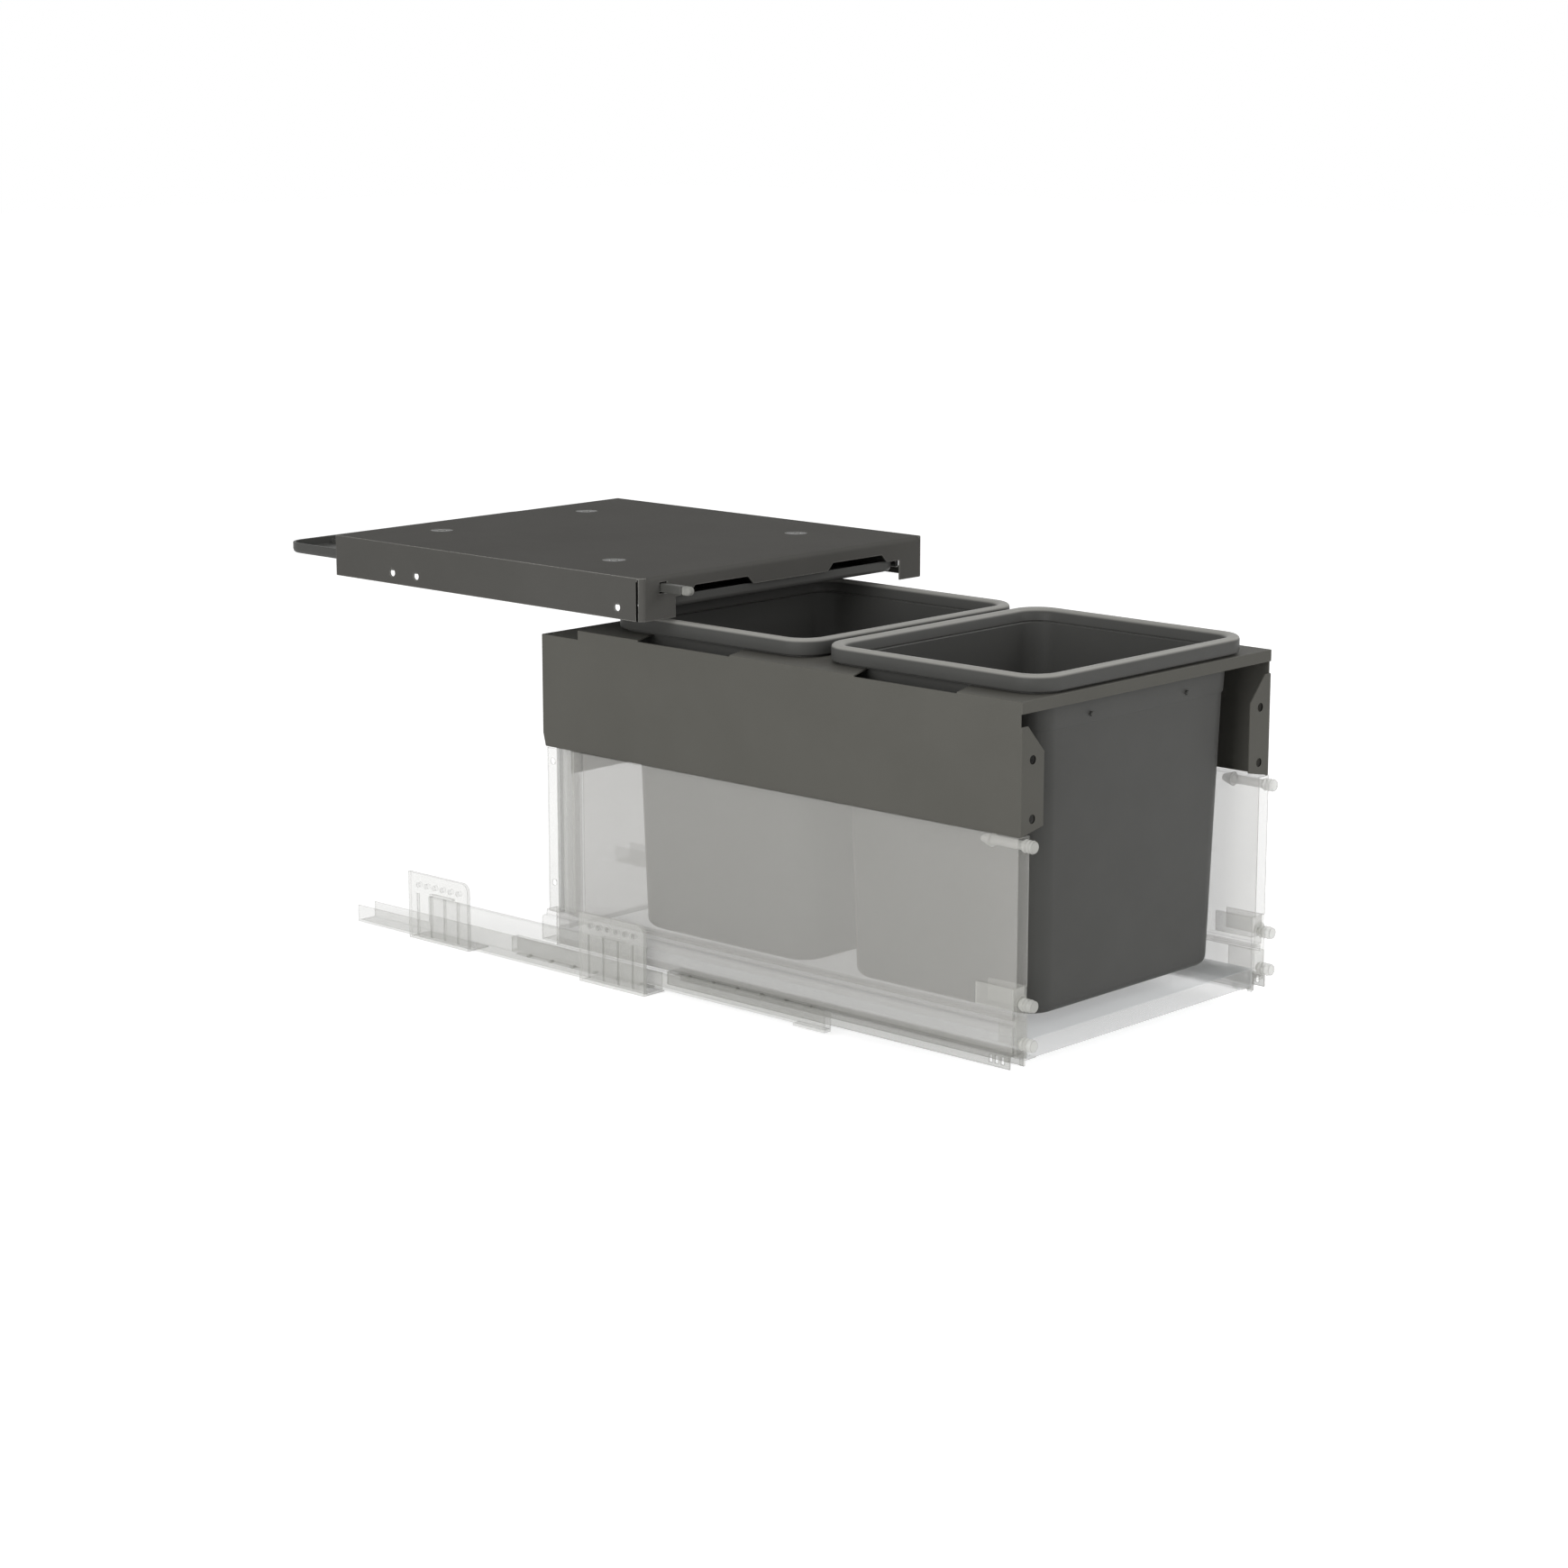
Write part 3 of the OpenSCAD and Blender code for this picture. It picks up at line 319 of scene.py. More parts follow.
# Painted shade, nearly black, on the faces inside the folded seams and the screw holes
SEAM_AND_HOLE_SHADE = Finish(
    "sheet_steel_uncoated_seam",
    tone="0d0d0c",
    cloud_tone="121211",
    edge_tone="161615",
    roughness=(0.8, 0.95),
    patch_mm=12,
    grain_mm=0.8,
    grain_depth_mm=0.02,
    specular=0.02,
)
# Acetal bushes that the studs slide in: nearly black, smooth, with a painted highlight round their
# mouths
BUSH_MOULDING = Finish(
    "acetal_black_rubbed_mouth",
    tone="242422",
    cloud_tone="2c2c2a",
    edge_tone="e6e6e0",
    roughness=(0.28, 0.38),
    patch_mm=20,
    grain_mm=0.9,
    grain_depth_mm=0.008,
    edge_mm=0.7,
    specular=0.2,
)
# Rod moulding, dark grey and a little satin
ROD_MOULDING = Finish(
    "nylon_dark_satin",
    tone="4a4a47",
    cloud_tone="52524f",
    edge_tone="77776f",
    roughness=(0.35, 0.45),
    patch_mm=18,
    grain_mm=0.8,
    grain_depth_mm=0.012,
    grain=Grain.ALONG_RUN,
    specular=0.25,
)
# Soft rubbery tip that meets the door: light grey, dull
TIP_MOULDING = Finish(
    "elastomer_light_grey",
    tone="7c7c77",
    cloud_tone="989893",
    edge_tone="9c9c96",
    roughness=(0.6, 0.72),
    patch_mm=4,
    grain_mm=0.5,
    grain_depth_mm=0.02,
    specular=0.3,
)
# Bright zinc plate on steel: a cool, cloudy shine and fine drawn lines, 0.1 mm apart on the real
# plate and drawn at 0.6 mm to show
ZINC_PLATE = Finish(
    "zinc_plate_drawn",
    tone="a9aaa8",
    cloud_tone="b9bab6",
    edge_tone="c9c9c5",
    roughness=(0.26, 0.42),
    patch_mm=14,
    grain_mm=0.6,
    grain_depth_mm=0.006,
    grain=Grain.ALONG_RUN,
    metallic=1.0,
)
# White coat on sheet, shown see-through as in the photo: a faint veil over what stands behind,
# denser along its edges
CLEAR_SHEET = Finish(
    "clear_coat_sheet_veil",
    tone="d8d7d2",
    cloud_tone="dfdeda",
    edge_tone="8b8a85",
    roughness=(0.4, 0.55),
    patch_mm=90,
    grain_mm=2.0,
    grain_depth_mm=0.002,
    edge_mm=0.9,
    specular=0.02,
    alpha=(0.19, 0.85),
)
# Rolled rail coat shown see-through: greyer, with lines drawn along the rail
CLEAR_RAIL = Finish(
    "clear_coat_rail_veil",
    tone="c6c6c0",
    cloud_tone="d2d2cc",
    edge_tone="a9a9a4",
    roughness=(0.3, 0.45),
    patch_mm=40,
    grain_mm=1.6,
    grain_depth_mm=0.015,
    grain=Grain.ALONG_RUN,
    edge_mm=0.9,
    specular=0.05,
    alpha=(0.19, 0.85),
)
# White faced board shown see-through: the densest veil, with a pearl-like facing
CLEAR_BOARD = Finish(
    "clear_board_facing",
    tone="dcdedd",
    cloud_tone="e3e4e3",
    edge_tone="ecece9",
    roughness=(0.38, 0.5),
    patch_mm=120,
    grain_mm=1.2,
    grain_depth_mm=0.012,
    edge_mm=1.2,
    specular=0.08,
    alpha=(0.34, 0.65),
)
# The floor's facing, greyer and a cool blue as painted shade under the bins
SHADED_FLOOR_BOARD = replace(
    CLEAR_BOARD,
    name="clear_floor_facing_veil",
    tone="d0d5d7",
    cloud_tone="d8dcde",
    alpha=(0.35, 0.6),
)
# The band glued on the floor's front edge, pale and thin
BOARD_BAND = replace(
    CLEAR_BOARD,
    name="clear_edge_band_veil",
    tone="e2e2e0",
    cloud_tone="e8e8e6",
    alpha=(0.24, 0.5),
)
# Clear-ish moulding: glossier veil with bright rounded edges
CLEAR_MOULDING = Finish(
    "clear_moulding_veil",
    tone="e4e4df",
    cloud_tone="eaeae5",
    edge_tone="a3a39e",
    roughness=(0.18, 0.3),
    patch_mm=12,
    grain_mm=0.8,
    grain_depth_mm=0.015,
    specular=0.1,
    alpha=(0.26, 0.75),
)
# The same moulding on the dowels, thick and solid, so their barbs read clearly
BARB_MOULDING = replace(
    CLEAR_MOULDING, name="clear_barbed_moulding_veil", edge_tone="8f8f8a", alpha=(0.42, 0.9)
)
# The rail that the drawer hangs on, two folds of steel deep: the darkest veil
DENSE_RAIL = replace(
    CLEAR_RAIL,
    name="clear_double_rail_veil",
    tone="a6a6a0",
    cloud_tone="b2b2ac",
    edge_tone="8a8a85",
    alpha=(0.33, 0.85),
)
# The rear posts of the same steel, a little denser
CLEAR_POST = replace(CLEAR_RAIL, name="clear_post_veil", alpha=(0.22, 0.85))
# The moulding again on the wall brackets, with painted shade along its edges and in the roots of
# its ribs
RIB_MOULDING = replace(
    CLEAR_MOULDING, name="clear_ribbed_moulding_veil", edge_tone="6f6f6a", alpha=(0.27, 0.95)
)


@dataclass(frozen=True)
class Dress:
    """How one piece is finished and where it belongs."""

    finish: Finish
    slot: str
    body: str


def link_new(name: str, data: ID) -> Object:
    """Puts a new object with the given data into the scene."""
    made = bpy.data.objects.new(name, data)
    bpy.context.scene.collection.objects.link(made)
    return made


def new_object(name: str, made: BMesh) -> Object:
    """Puts a finished mesh into an object at the origin.

    Args:
        name: the piece's name.
        made: the mesh in world metres; it is freed.

    Returns:
        The linked object.
    """
    mesh = bpy.data.meshes.new(name)
    made.to_mesh(mesh)
    made.free()
    return link_new(name, mesh)


def take_shape(carrier: Object) -> BMesh:
    """Gives the plain mesh that an object's modifiers make, and removes the object.

    Args:
        carrier: the object.

    Returns:
        The mesh.
    """
    bpy.context.view_layer.update()
    graph = bpy.context.evaluated_depsgraph_get()
    mesh = bpy.data.meshes.new_from_object(carrier.evaluated_get(graph))
    made = bmesh.new()
    made.from_mesh(mesh)
    bpy.data.meshes.remove(mesh)
    bpy.data.objects.remove(carrier)
    return made


def smooth(piece: Object, angle: float) -> None:
    """Shades a piece smooth except across sharp edges.

    Args:
        piece: the piece.
        angle: the turn from which an edge is sharp, in radians.
    """
    piece.data.polygons.foreach_set("use_smooth", [True] * len(piece.data.polygons))
    piece.data.set_sharp_from_angle(angle=angle)
    piece.data.update()


def hand_over(piece: Object, dress: Dress, node: str) -> Object:
    """Gives a finished piece its material and body, and hides the CAD node it stands for.

    Args:
        piece: the piece, in place.
        dress: its finish, slot and body.
        node: the CAD node that it replaces.

    Returns:
        The same piece.
    """
    piece.data.materials.append(dress.finish.build())
    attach(piece, dress.body)
    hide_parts(node)
    log.info("%s: %d faces for %s", piece.name, len(piece.data.polygons), node)
    return piece


@dataclass(frozen=True)
class Zone:
    """A box on both hands of the unit, in mm: x counts from the middle outward."""

    x: tuple[float, float] = (-1.0, 1000.0)
    y: tuple[float, float] = (-1000.0, 1000.0)
    z: tuple[float, float] = (-1000.0, 1000.0)

    def holds(self, place: Vector) -> bool:
        """Tells whether a point lies in the zone.

        Args:
            place: the point, in metres.

        Returns:
            True inside it.
        """
        spots = zip((self.x, self.y, self.z), (abs(place.x), place.y, place.z))
        return all(low * MM < spot < high * MM for (low, high), spot in spots)


@dataclass(frozen=True)
class Easing:
    """How a piece's sharp edges are rounded, in mm.

    Edges wholly inside the deep zone get the deep width, the others the plain one, and those
    wholly inside a kept zone none.
    """

    width: float
    segments: int = 2
    kept: tuple[Zone, ...] = ()
    deep: float = 0.0
    deep_zone: Zone | None = None

    @property
    def widest(self) -> float:
        """The larger of the two widths."""
        return max(self.width, self.deep)

    def weight(self, edge: BMEdge) -> float:
        """Gives an edge's share of the widest rounding.

        Args:
            edge: an edge of the merged mesh.

        Returns:
            A weight from 0 to 1.
        """
        if not edge.is_manifold or edge.calc_face_angle(0.0) < CREASE_ANGLE:
            return 0.0
        if any(all(zone.holds(vert.co) for vert in edge.verts) for zone in self.kept):
            return 0.0
        zone = self.deep_zone
        is_deep = zone is not None and all(zone.holds(vert.co) for vert in edge.verts)
        return (self.deep if is_deep else self.width) / self.widest

    def mark(self, made: BMesh) -> None:
        """Stores every edge's weight in the mesh.

        Args:
            made: the merged mesh.
        """
        layer = made.edges.layers.float.new("bevel_weight_edge")
        for edge in made.edges:
            edge[layer] = self.weight(edge)

    def apply(self, piece: Object) -> None:
        """Rounds a piece's marked edges and evens its normals.

        Args:
            piece: the piece made from the marked mesh.
        """
        bevel = piece.modifiers.new("eased_edges", "BEVEL")
        bevel.width = self.widest * MM
        bevel.segments = self.segments
        bevel.limit_method = "WEIGHT"
        bevel.use_clamp_overlap = False
        even = piece.modifiers.new("even_normals", "WEIGHTED_NORMAL")
        even.keep_sharp = True
        smooth(piece, EASED_ANGLE)


def cut_away(made: BMesh, boxes: tuple[Box, ...]) -> BMesh:
    """Cuts boxes out of a closed mesh.

    Args:
        made: the closed mesh; it is freed.
        boxes: low and high corners in mm.

    Returns:
        The cut mesh.
    """
    tool = bmesh.new()
    for low, high in boxes:
        middle = [(end + start) / 2 * MM for start, end in zip(low, high)]
        size = [(end - start) * MM for start, end in zip(low, high)]
        place = Matrix.Translation(middle) @ Matrix.Diagonal(size + [1.0])
        bmesh.ops.create_cube(tool, size=1.0, matrix=place)
    body, cutter = new_object("uncut", made), new_object("cutter", tool)
    cut = body.modifiers.new("cut", "BOOLEAN")
    cut.object = cutter
    cut.solver = "EXACT"
    result = take_shape(body)
    bpy.data.objects.remove(cutter)
    return result


def eased_copy(
    node: str, name: str, dress: Dress, easing: Easing, slots: tuple[Box, ...] = ()
) -> Object:
    """Copies a CAD node as clean flat faces with rounded edges.

    Args:
        node: the CAD node.
        name: the piece's name.
        dress: its finish, slot and body.
        easing: how its edges are rounded.
        slots: boxes cut out of it, in mm.

    Returns:
        The piece that stands for the node.
    """
    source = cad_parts[node]
    made = bmesh.new()
    made.from_mesh(source.data)
    made.transform(source.matrix_world)
    bmesh.ops.remove_doubles(made, verts=made.verts, dist=MERGE_DISTANCE)
    if slots:
        bmesh.ops.recalc_face_normals(made, faces=made.faces)
        made = cut_away(made, slots)
    bmesh.ops.dissolve_limit(
        made, angle_limit=FLAT_ANGLE, verts=made.verts, edges=made.edges, delimit=set()
    )
    bmesh.ops.recalc_face_normals(made, faces=made.faces)
    easing.mark(made)
    piece = new_object(name, made)
    easing.apply(piece)
    return hand_over(piece, dress, node)


def sided_copy(node: str, look: str, side: Side, dress: Dress, easing: Easing) -> Object:
    """Makes one hand's eased copy of a CAD node that both hands have.

    Args:
        node: the node's name without its side.
        look: the word that the piece's name begins with.
        side: the hand.
        dress: its finish, slot and body.
        easing: how its edges are rounded.

    Returns:
        The piece that stands for the node.
    """
    full = f"{node}_{side.label}"
    return eased_copy(full, f"{look}_{full}", dress, easing)


def paint_faces(piece: Object, finish: Finish, chosen: Callable[[MeshPolygon], bool]) -> Object:
    """Gives the chosen faces of a finished piece a second finish.

    Args:
        piece: the piece.
        finish: the second finish.
        chosen: tells which faces take it.

    Returns:
        The same piece.
    """
    piece.data.materials.append(finish.build())
    for face in piece.data.polygons:
        if chosen(face):
            face.material_index = 1
    return piece


def repaint(node: str, finish: Finish) -> None:
    """Gives a CAD node that keeps its own shape a better material.

    Args:
        node: the CAD node.
        finish: its finish.
    """
    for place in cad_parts[node].material_slots:
        place.material = finish.build()
    log.info("%s: kept, %s", node, finish.name)


class TurnedBars:
    """Geometry node tree for a straight row of turned bars, such as a runner's rollers."""

    NAME = "turned_bar_row"
    SIDES = 24
    SOCKETS = {
        "Vector": ("Start", "Direction", "Pitch"),
        "Float": ("Length", "Radius", "End Round"),
        "Int": ("Count", "Steps"),
        "Material": ("Finish",),
    }

    def tree(self) -> NodeTree:
        """Builds the tree once: a swept circle whose radius shrinks at both ends, in a row.

        Returns:
            The node group.
        """
        known = bpy.data.node_groups.get(self.NAME)
        if known is not None:
            return known
        tree = bpy.data.node_groups.new(self.NAME, "GeometryNodeTree")
        for kind, names in self.SOCKETS.items():
            for name in names:
                tree.interface.new_socket(name, in_out="INPUT", socket_type=f"NodeSocket{kind}")
        tree.interface.new_socket("Geometry", in_out="OUTPUT", socket_type="NodeSocketGeometry")
        given = add_node(tree, "NodeGroupInput", {})
        ends = {"Direction": given["Direction"], "Length": given["Length"]}
        line = add_node(tree, "GeometryNodeCurvePrimitiveLine", ends, mode="DIRECTION")[0]
        steps = {"Curve": line, "Count": given["Steps"]}
        circle = {"Resolution": self.SIDES, "Radius": 1.0}
        sweep = {
            "Curve": add_node(tree, "GeometryNodeResampleCurve", steps)[0],
            "Profile Curve": add_node(tree, "GeometryNodeCurvePrimitiveCircle", circle)[0],
            "Scale": self.radius(tree, given),
            "Fill Caps": True,
        }
        places = {"Count": given["Count"], "Start Location": given["Start"]}
        places["Offset"] = given["Pitch"]
        row = {
            "Points": add_node(tree, "GeometryNodeMeshLine", places)[0],
            "Instance": add_node(tree, "GeometryNodeCurveToMesh", sweep)[0],
        }
        placed = {"Geometry": add_node(tree, "GeometryNodeInstanceOnPoints", row)[0]}
        real = add_node(tree, "GeometryNodeRealizeInstances", placed)[0]
        dress = {"Geometry": real, "Material": given["Finish"]}
        dressed = add_node(tree, "GeometryNodeSetMaterial", dress)[0]
        add_node(tree, "NodeGroupOutput", {"Geometry": dressed})
        return tree

    def radius(self, tree: NodeTree, given: NodeOutputs) -> NodeSocket:
        """Adds the radius along the bar: the full one, less a quarter round at each end.

        Args:
            tree: the node group.
            given: its input sockets.

        Returns:
            The radius socket.
        """

        def maths(operation: str, *values: NodeSocket | float) -> NodeSocket:
            """Adds one sum.

            Args:
                operation: Blender's name for it.
                values: the sockets or numbers it takes.

            Returns:
                The socket with the result.
            """
            return add_node(tree, "ShaderNodeMath", dict(enumerate(values)), operation=operation)[0]

        along = add_node(tree, "GeometryNodeSplineParameter", {})["Length"]
        to_end = maths("MINIMUM", along, maths("SUBTRACT", given["Length"], along))
        share = maths("MINIMUM", maths("DIVIDE", to_end, given["End Round"]), 1.0)
        short = maths("SUBTRACT", 1.0, share)
        arc = maths("SQRT", maths("SUBTRACT", 1.0, maths("MULTIPLY", short, short)))
        lost = maths("MULTIPLY", given["End Round"], maths("SUBTRACT", 1.0, arc))
        return maths("SUBTRACT", given["Radius"], lost)

    def grow(self, sizes: dict) -> BMesh:
        """Evaluates the tree for one row and gives plain mesh.

        Args:
            sizes: the tree's inputs by name, lengths in metres.

        Returns:
            The row's mesh.
        """
        carrier = new_object("row_carrier", bmesh.new())
        grower = carrier.modifiers.new("row", "NODES")
        grower.node_group = self.tree()
        for socket in grower.node_group.interface.items_tree:
            if socket.in_out == "INPUT":
                grower[socket.identifier] = sizes[socket.name]
        return take_shape(carrier)


@dataclass(frozen=True)
class Ring:
    """One level of a bin, in mm: how far in from the rim it stands, its corner and height."""

    inset_x: float
    inset_y: float
    corner: float
    height: float

    @classmethod
    def even(cls, inset: float, corner: float, height: float) -> "Ring":
        """Gives a ring that stands equally far in on all four sides."""
        return cls(inset, inset, corner, height)


def skin(made: BMesh, loops: list[list[BMVert]]) -> None:
    """Closes a stack of equal loops into a shell with a flat face at both ends.

    Args:
        made: the mesh that holds the loops.
        loops: their vertices, in the order of the shell.
    """
    count = len(loops[0])
    for low, high in zip(loops, loops[1:]):
        for i in range(count):
            j = (i + 1) % count
            made.faces.new((low[i], low[j], high[j], high[i]))
    made.faces.new(loops[0])
    made.faces.new(loops[-1])


@dataclass
class Bin:
    """A moulded bin: tapered body with a round foot, band under the rim and a rolled rim.

    All sizes are in mm and insets count inward from the rim's outside. The lip steps are insets
    with heights over the lip's underside; the mouth steps are insets, changes of the corner and
    depths under the rim's top; the nub's profile is radii with depths from the front wall.
    """

    name: str
    centre_y: float
    half_width: float = 139.5
    half_length: float = 116.6
    bottom: float = 40.7
    seat_bottom: float = 305.2
    seat_soft: float = 0.1
    rim_bottom: float = 308.4
    lip_bottom: float = 307.2
    lip_steps: Pairs = ((0.9, 0.0), (0.3, 0.3), (0.0, 1.0))
    rim_top: float = 320.9
    rim_corner: float = 27.0
    rim_roll: float = 3.4
    neck_inset: float = 5.0
    neck_soft: float = 0.2
    mouth_steps: tuple[Triple, ...] = (
        (6.0, -0.9, 0.1), (7.6, 0.6, 0.7), (9.1, 0.0, 2.0), (10.3, -0.5, 4.2)
    )
    groove_depth: float = 0.9
    groove_height: float = 1.0
    wall: float = 2.5
    band_inset: float = 9.0
    band_bottom: float = 274.2
    band_soft: float = 0.4
    body_inset: float = 10.5
    draft_x: float = 7.5
    draft_y: float = 5.5
    foot_round: float = 8.0
    ledge_height: float = 309.4
    ledge_soft: tuple[float, float] = (0.4, 0.5)
    corner_steps: int = 10
    round_steps: int = 6
    nub_x: float = 63.0
    nub_z: float = 280.7
    nub_profile: Pairs = ((2.0, 1.0), (2.0, -0.7), (1.75, -1.05), (1.3, -1.2))
    nub_steps: int = 20
    dress: Dress = Dress(BIN_MOULDING, "dark_plastic", "drawer")

    def quarter(self, radius: float) -> list[tuple[float, float]]:
        """Steps round a quarter circle.

        Args:
            radius: the circle's radius.

        Returns:
            At each step what is left to run along the first way and what has been run along the
            second.
        """
        turns = [math.pi / 2 * i / self.round_steps for i in range(self.round_steps + 1)]
        return [(radius * (1 - math.sin(turn)), radius * (1 - math.cos(turn))) for turn in turns]

    def outer_rings(self) -> list[Ring]:
        """Levels of the outside, from the flat of the foot up to the top of the rim.

        Returns:
            The rings in order.
        """
        low_x, low_y = self.body_inset + self.draft_x, self.body_inset + self.draft_y
        corner = self.rim_corner - self.band_inset / 2
        neck_corner = self.rim_corner - self.neck_inset
        soft, seat, lip = self.band_soft, self.seat_bottom, self.lip_bottom
        share = (self.rim_bottom - self.band_bottom) / (
            self.rim_bottom - self.bottom - self.foot_round
        )
        at_band_x = self.body_inset + self.draft_x * share
        at_band_y = self.body_inset + self.draft_y * share
        foot = [
            Ring(low_x + back, low_y + back, corner - back / 2, self.bottom + up)
            for back, up in self.quarter(self.foot_round)
        ]
        band = [
            Ring(at_band_x, at_band_y, corner, self.band_bottom - soft),
            Ring(at_band_x - soft / 4, at_band_y - soft / 4, corner, self.band_bottom),
            Ring.even(self.body_inset + soft / 4, corner, self.band_bottom),
            Ring.even(self.body_inset - soft / 4, corner, self.band_bottom + soft),
            Ring.even(self.band_inset, corner, seat - self.seat_soft),
            Ring.even(self.band_inset, corner, seat),
            Ring.even(self.neck_inset + self.neck_soft, neck_corner, seat),
            Ring.even(self.neck_inset, neck_corner, seat + self.neck_soft),
            Ring.even(self.neck_inset, neck_corner, lip),
        ]
        under_rim = [
            Ring.even(inset, self.rim_corner - inset, lip + up) for inset, up in self.lip_steps
        ]
        crest = [
            Ring.even(back, self.rim_corner - back, self.rim_top - drop)
            for drop, back in self.quarter(self.rim_roll)
        ]
        return foot + band + under_rim + crest

    def inner_rings(self) -> list[Ring]:
        """Levels of the inside, from the lip of the mouth down to the flat of the floor.

        Returns:
            The rings in order.
        """
        corner = self.rim_corner - self.band_inset / 2
        low_corner = corner - self.wall
        mouth = self.band_inset + self.wall
        groove = mouth - self.groove_depth
        inside = self.body_inset + self.wall
        low_x, low_y = inside + self.draft_x, inside + self.draft_y
        floor = self.bottom + self.wall
        ledge = self.ledge_height
        groove_top = ledge + self.groove_height
        lip = [
            Ring.even(inset, corner + wider, self.rim_top - drop)
            for inset, wider, drop in self.mouth_steps
        ]
        ledge_groove = [
            Ring.even(mouth, low_corner, groove_top + self.neck_soft),
            Ring.even(mouth - self.neck_soft, low_corner, groove_top),
            Ring.even(groove, low_corner, groove_top),
            Ring.even(groove, low_corner, ledge),
            Ring.even(inside - self.ledge_soft[0], low_corner, ledge),
            Ring.even(inside, low_corner, ledge - self.ledge_soft[1]),
        ]
        foot = [
            Ring(low_x + back, low_y + back, low_corner - back / 2, floor + up)
            for up, back in self.quarter(self.foot_round)
        ]
        return lip + ledge_groove + foot

    def loop(self, made: BMesh, ring: Ring) -> list[BMVert]:
        """Adds the vertices of one rounded rectangle.

        Args:
            made: the bin's mesh.
            ring: the level.

        Returns:
            The vertices, round the bin.
        """
        verts = []
        reach_x = self.half_width - ring.inset_x - ring.corner
        reach_y = self.half_length - ring.inset_y - ring.corner
        for quarter, (side_x, side_y) in enumerate(((1, 1), (-1, 1), (-1, -1), (1, -1))):
            for i in range(self.corner_steps + 1):
                angle = math.pi / 2 * (quarter + i / self.corner_steps)
                x = side_x * reach_x + ring.corner * math.cos(angle)
                y = self.centre_y + side_y * reach_y + ring.corner * math.sin(angle)
                verts.append(made.verts.new((x * MM, y * MM, ring.height * MM)))
        return verts

    def add_nub(self, made: BMesh, x: float) -> None:
        """Adds one small round stop under the rim, on the front wall.

        Args:
            made: the bin's mesh.
            x: the stop's place across the bin, in mm.
        """
        front = self.centre_y - self.half_length + self.band_inset
        turns = [math.tau * i / self.nub_steps for i in range(self.nub_steps)]
        loops = []
        for radius, depth in self.nub_profile:
            y = (front + depth) * MM
            places = [
                ((x + radius * math.cos(turn)) * MM, y, (self.nub_z + radius * math.sin(turn)) * MM)
                for turn in turns
            ]
            loops.append([made.verts.new(place) for place in places])
        skin(made, loops)

    def build(self) -> Object:
        """Skins the rings into one closed shell and adds the nubs.

        Returns:
            The finished bin.
        """
        made = bmesh.new()
        skin(made, [self.loop(made, ring) for ring in self.outer_rings() + self.inner_rings()])
        for side in Side:
            self.add_nub(made, side.value * self.nub_x)
        bmesh.ops.recalc_face_normals(made, faces=made.faces)
        piece = new_object(f"{self.name}_moulding", made)
        smooth(piece, BIN_ANGLE)
        return hand_over(piece, self.dress, self.name)


@dataclass
class BinFrame:
    """The folded sheet frame that the bins hang in, with sizes in mm.

    A face lines a hole where it turns less to the front than front_facing, a cosine.
    """

    edge: float = 0.55
    hole_x: float = 150.0
    hole_heights: tuple[float, float] = (211.0, 258.0)
    hole_reach: float = 4.2
    flange_depth: float = 4.0
    front_facing: float = 0.5
    dress: Dress = Dress(SIDE_COAT, "dark_sheet", "drawer")

    def lines_hole(self, face: MeshPolygon) -> bool:
        """Tells whether a face lines one of the door screws' holes in the front flanges.

        Args:
            face: a face of the frame.

        Returns:
            True for a lining face.
        """
        place = face.center
        flange_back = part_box("bin_frame")[0][1] + self.flange_depth * MM
        if place.y > flange_back or abs(face.normal.y) > self.front_facing:
            return False
        return any(
            math.hypot(abs(place.x) - self.hole_x * MM, place.z - height * MM)
            < self.hole_reach * MM
            for height in self.hole_heights
        )

    def build(self) -> Object:
        """Makes the folded sheet with rounded cut edges and nearly black painted shade inside its
        holes.

        Returns:
            The frame.
        """
        piece = eased_copy("bin_frame", "folded_bin_frame", self.dress, Easing(self.edge))
        # The faces lining the screw holes take nearly black painted shade
        return paint_faces(piece, SEAM_AND_HOLE_SHADE, self.lines_hole)


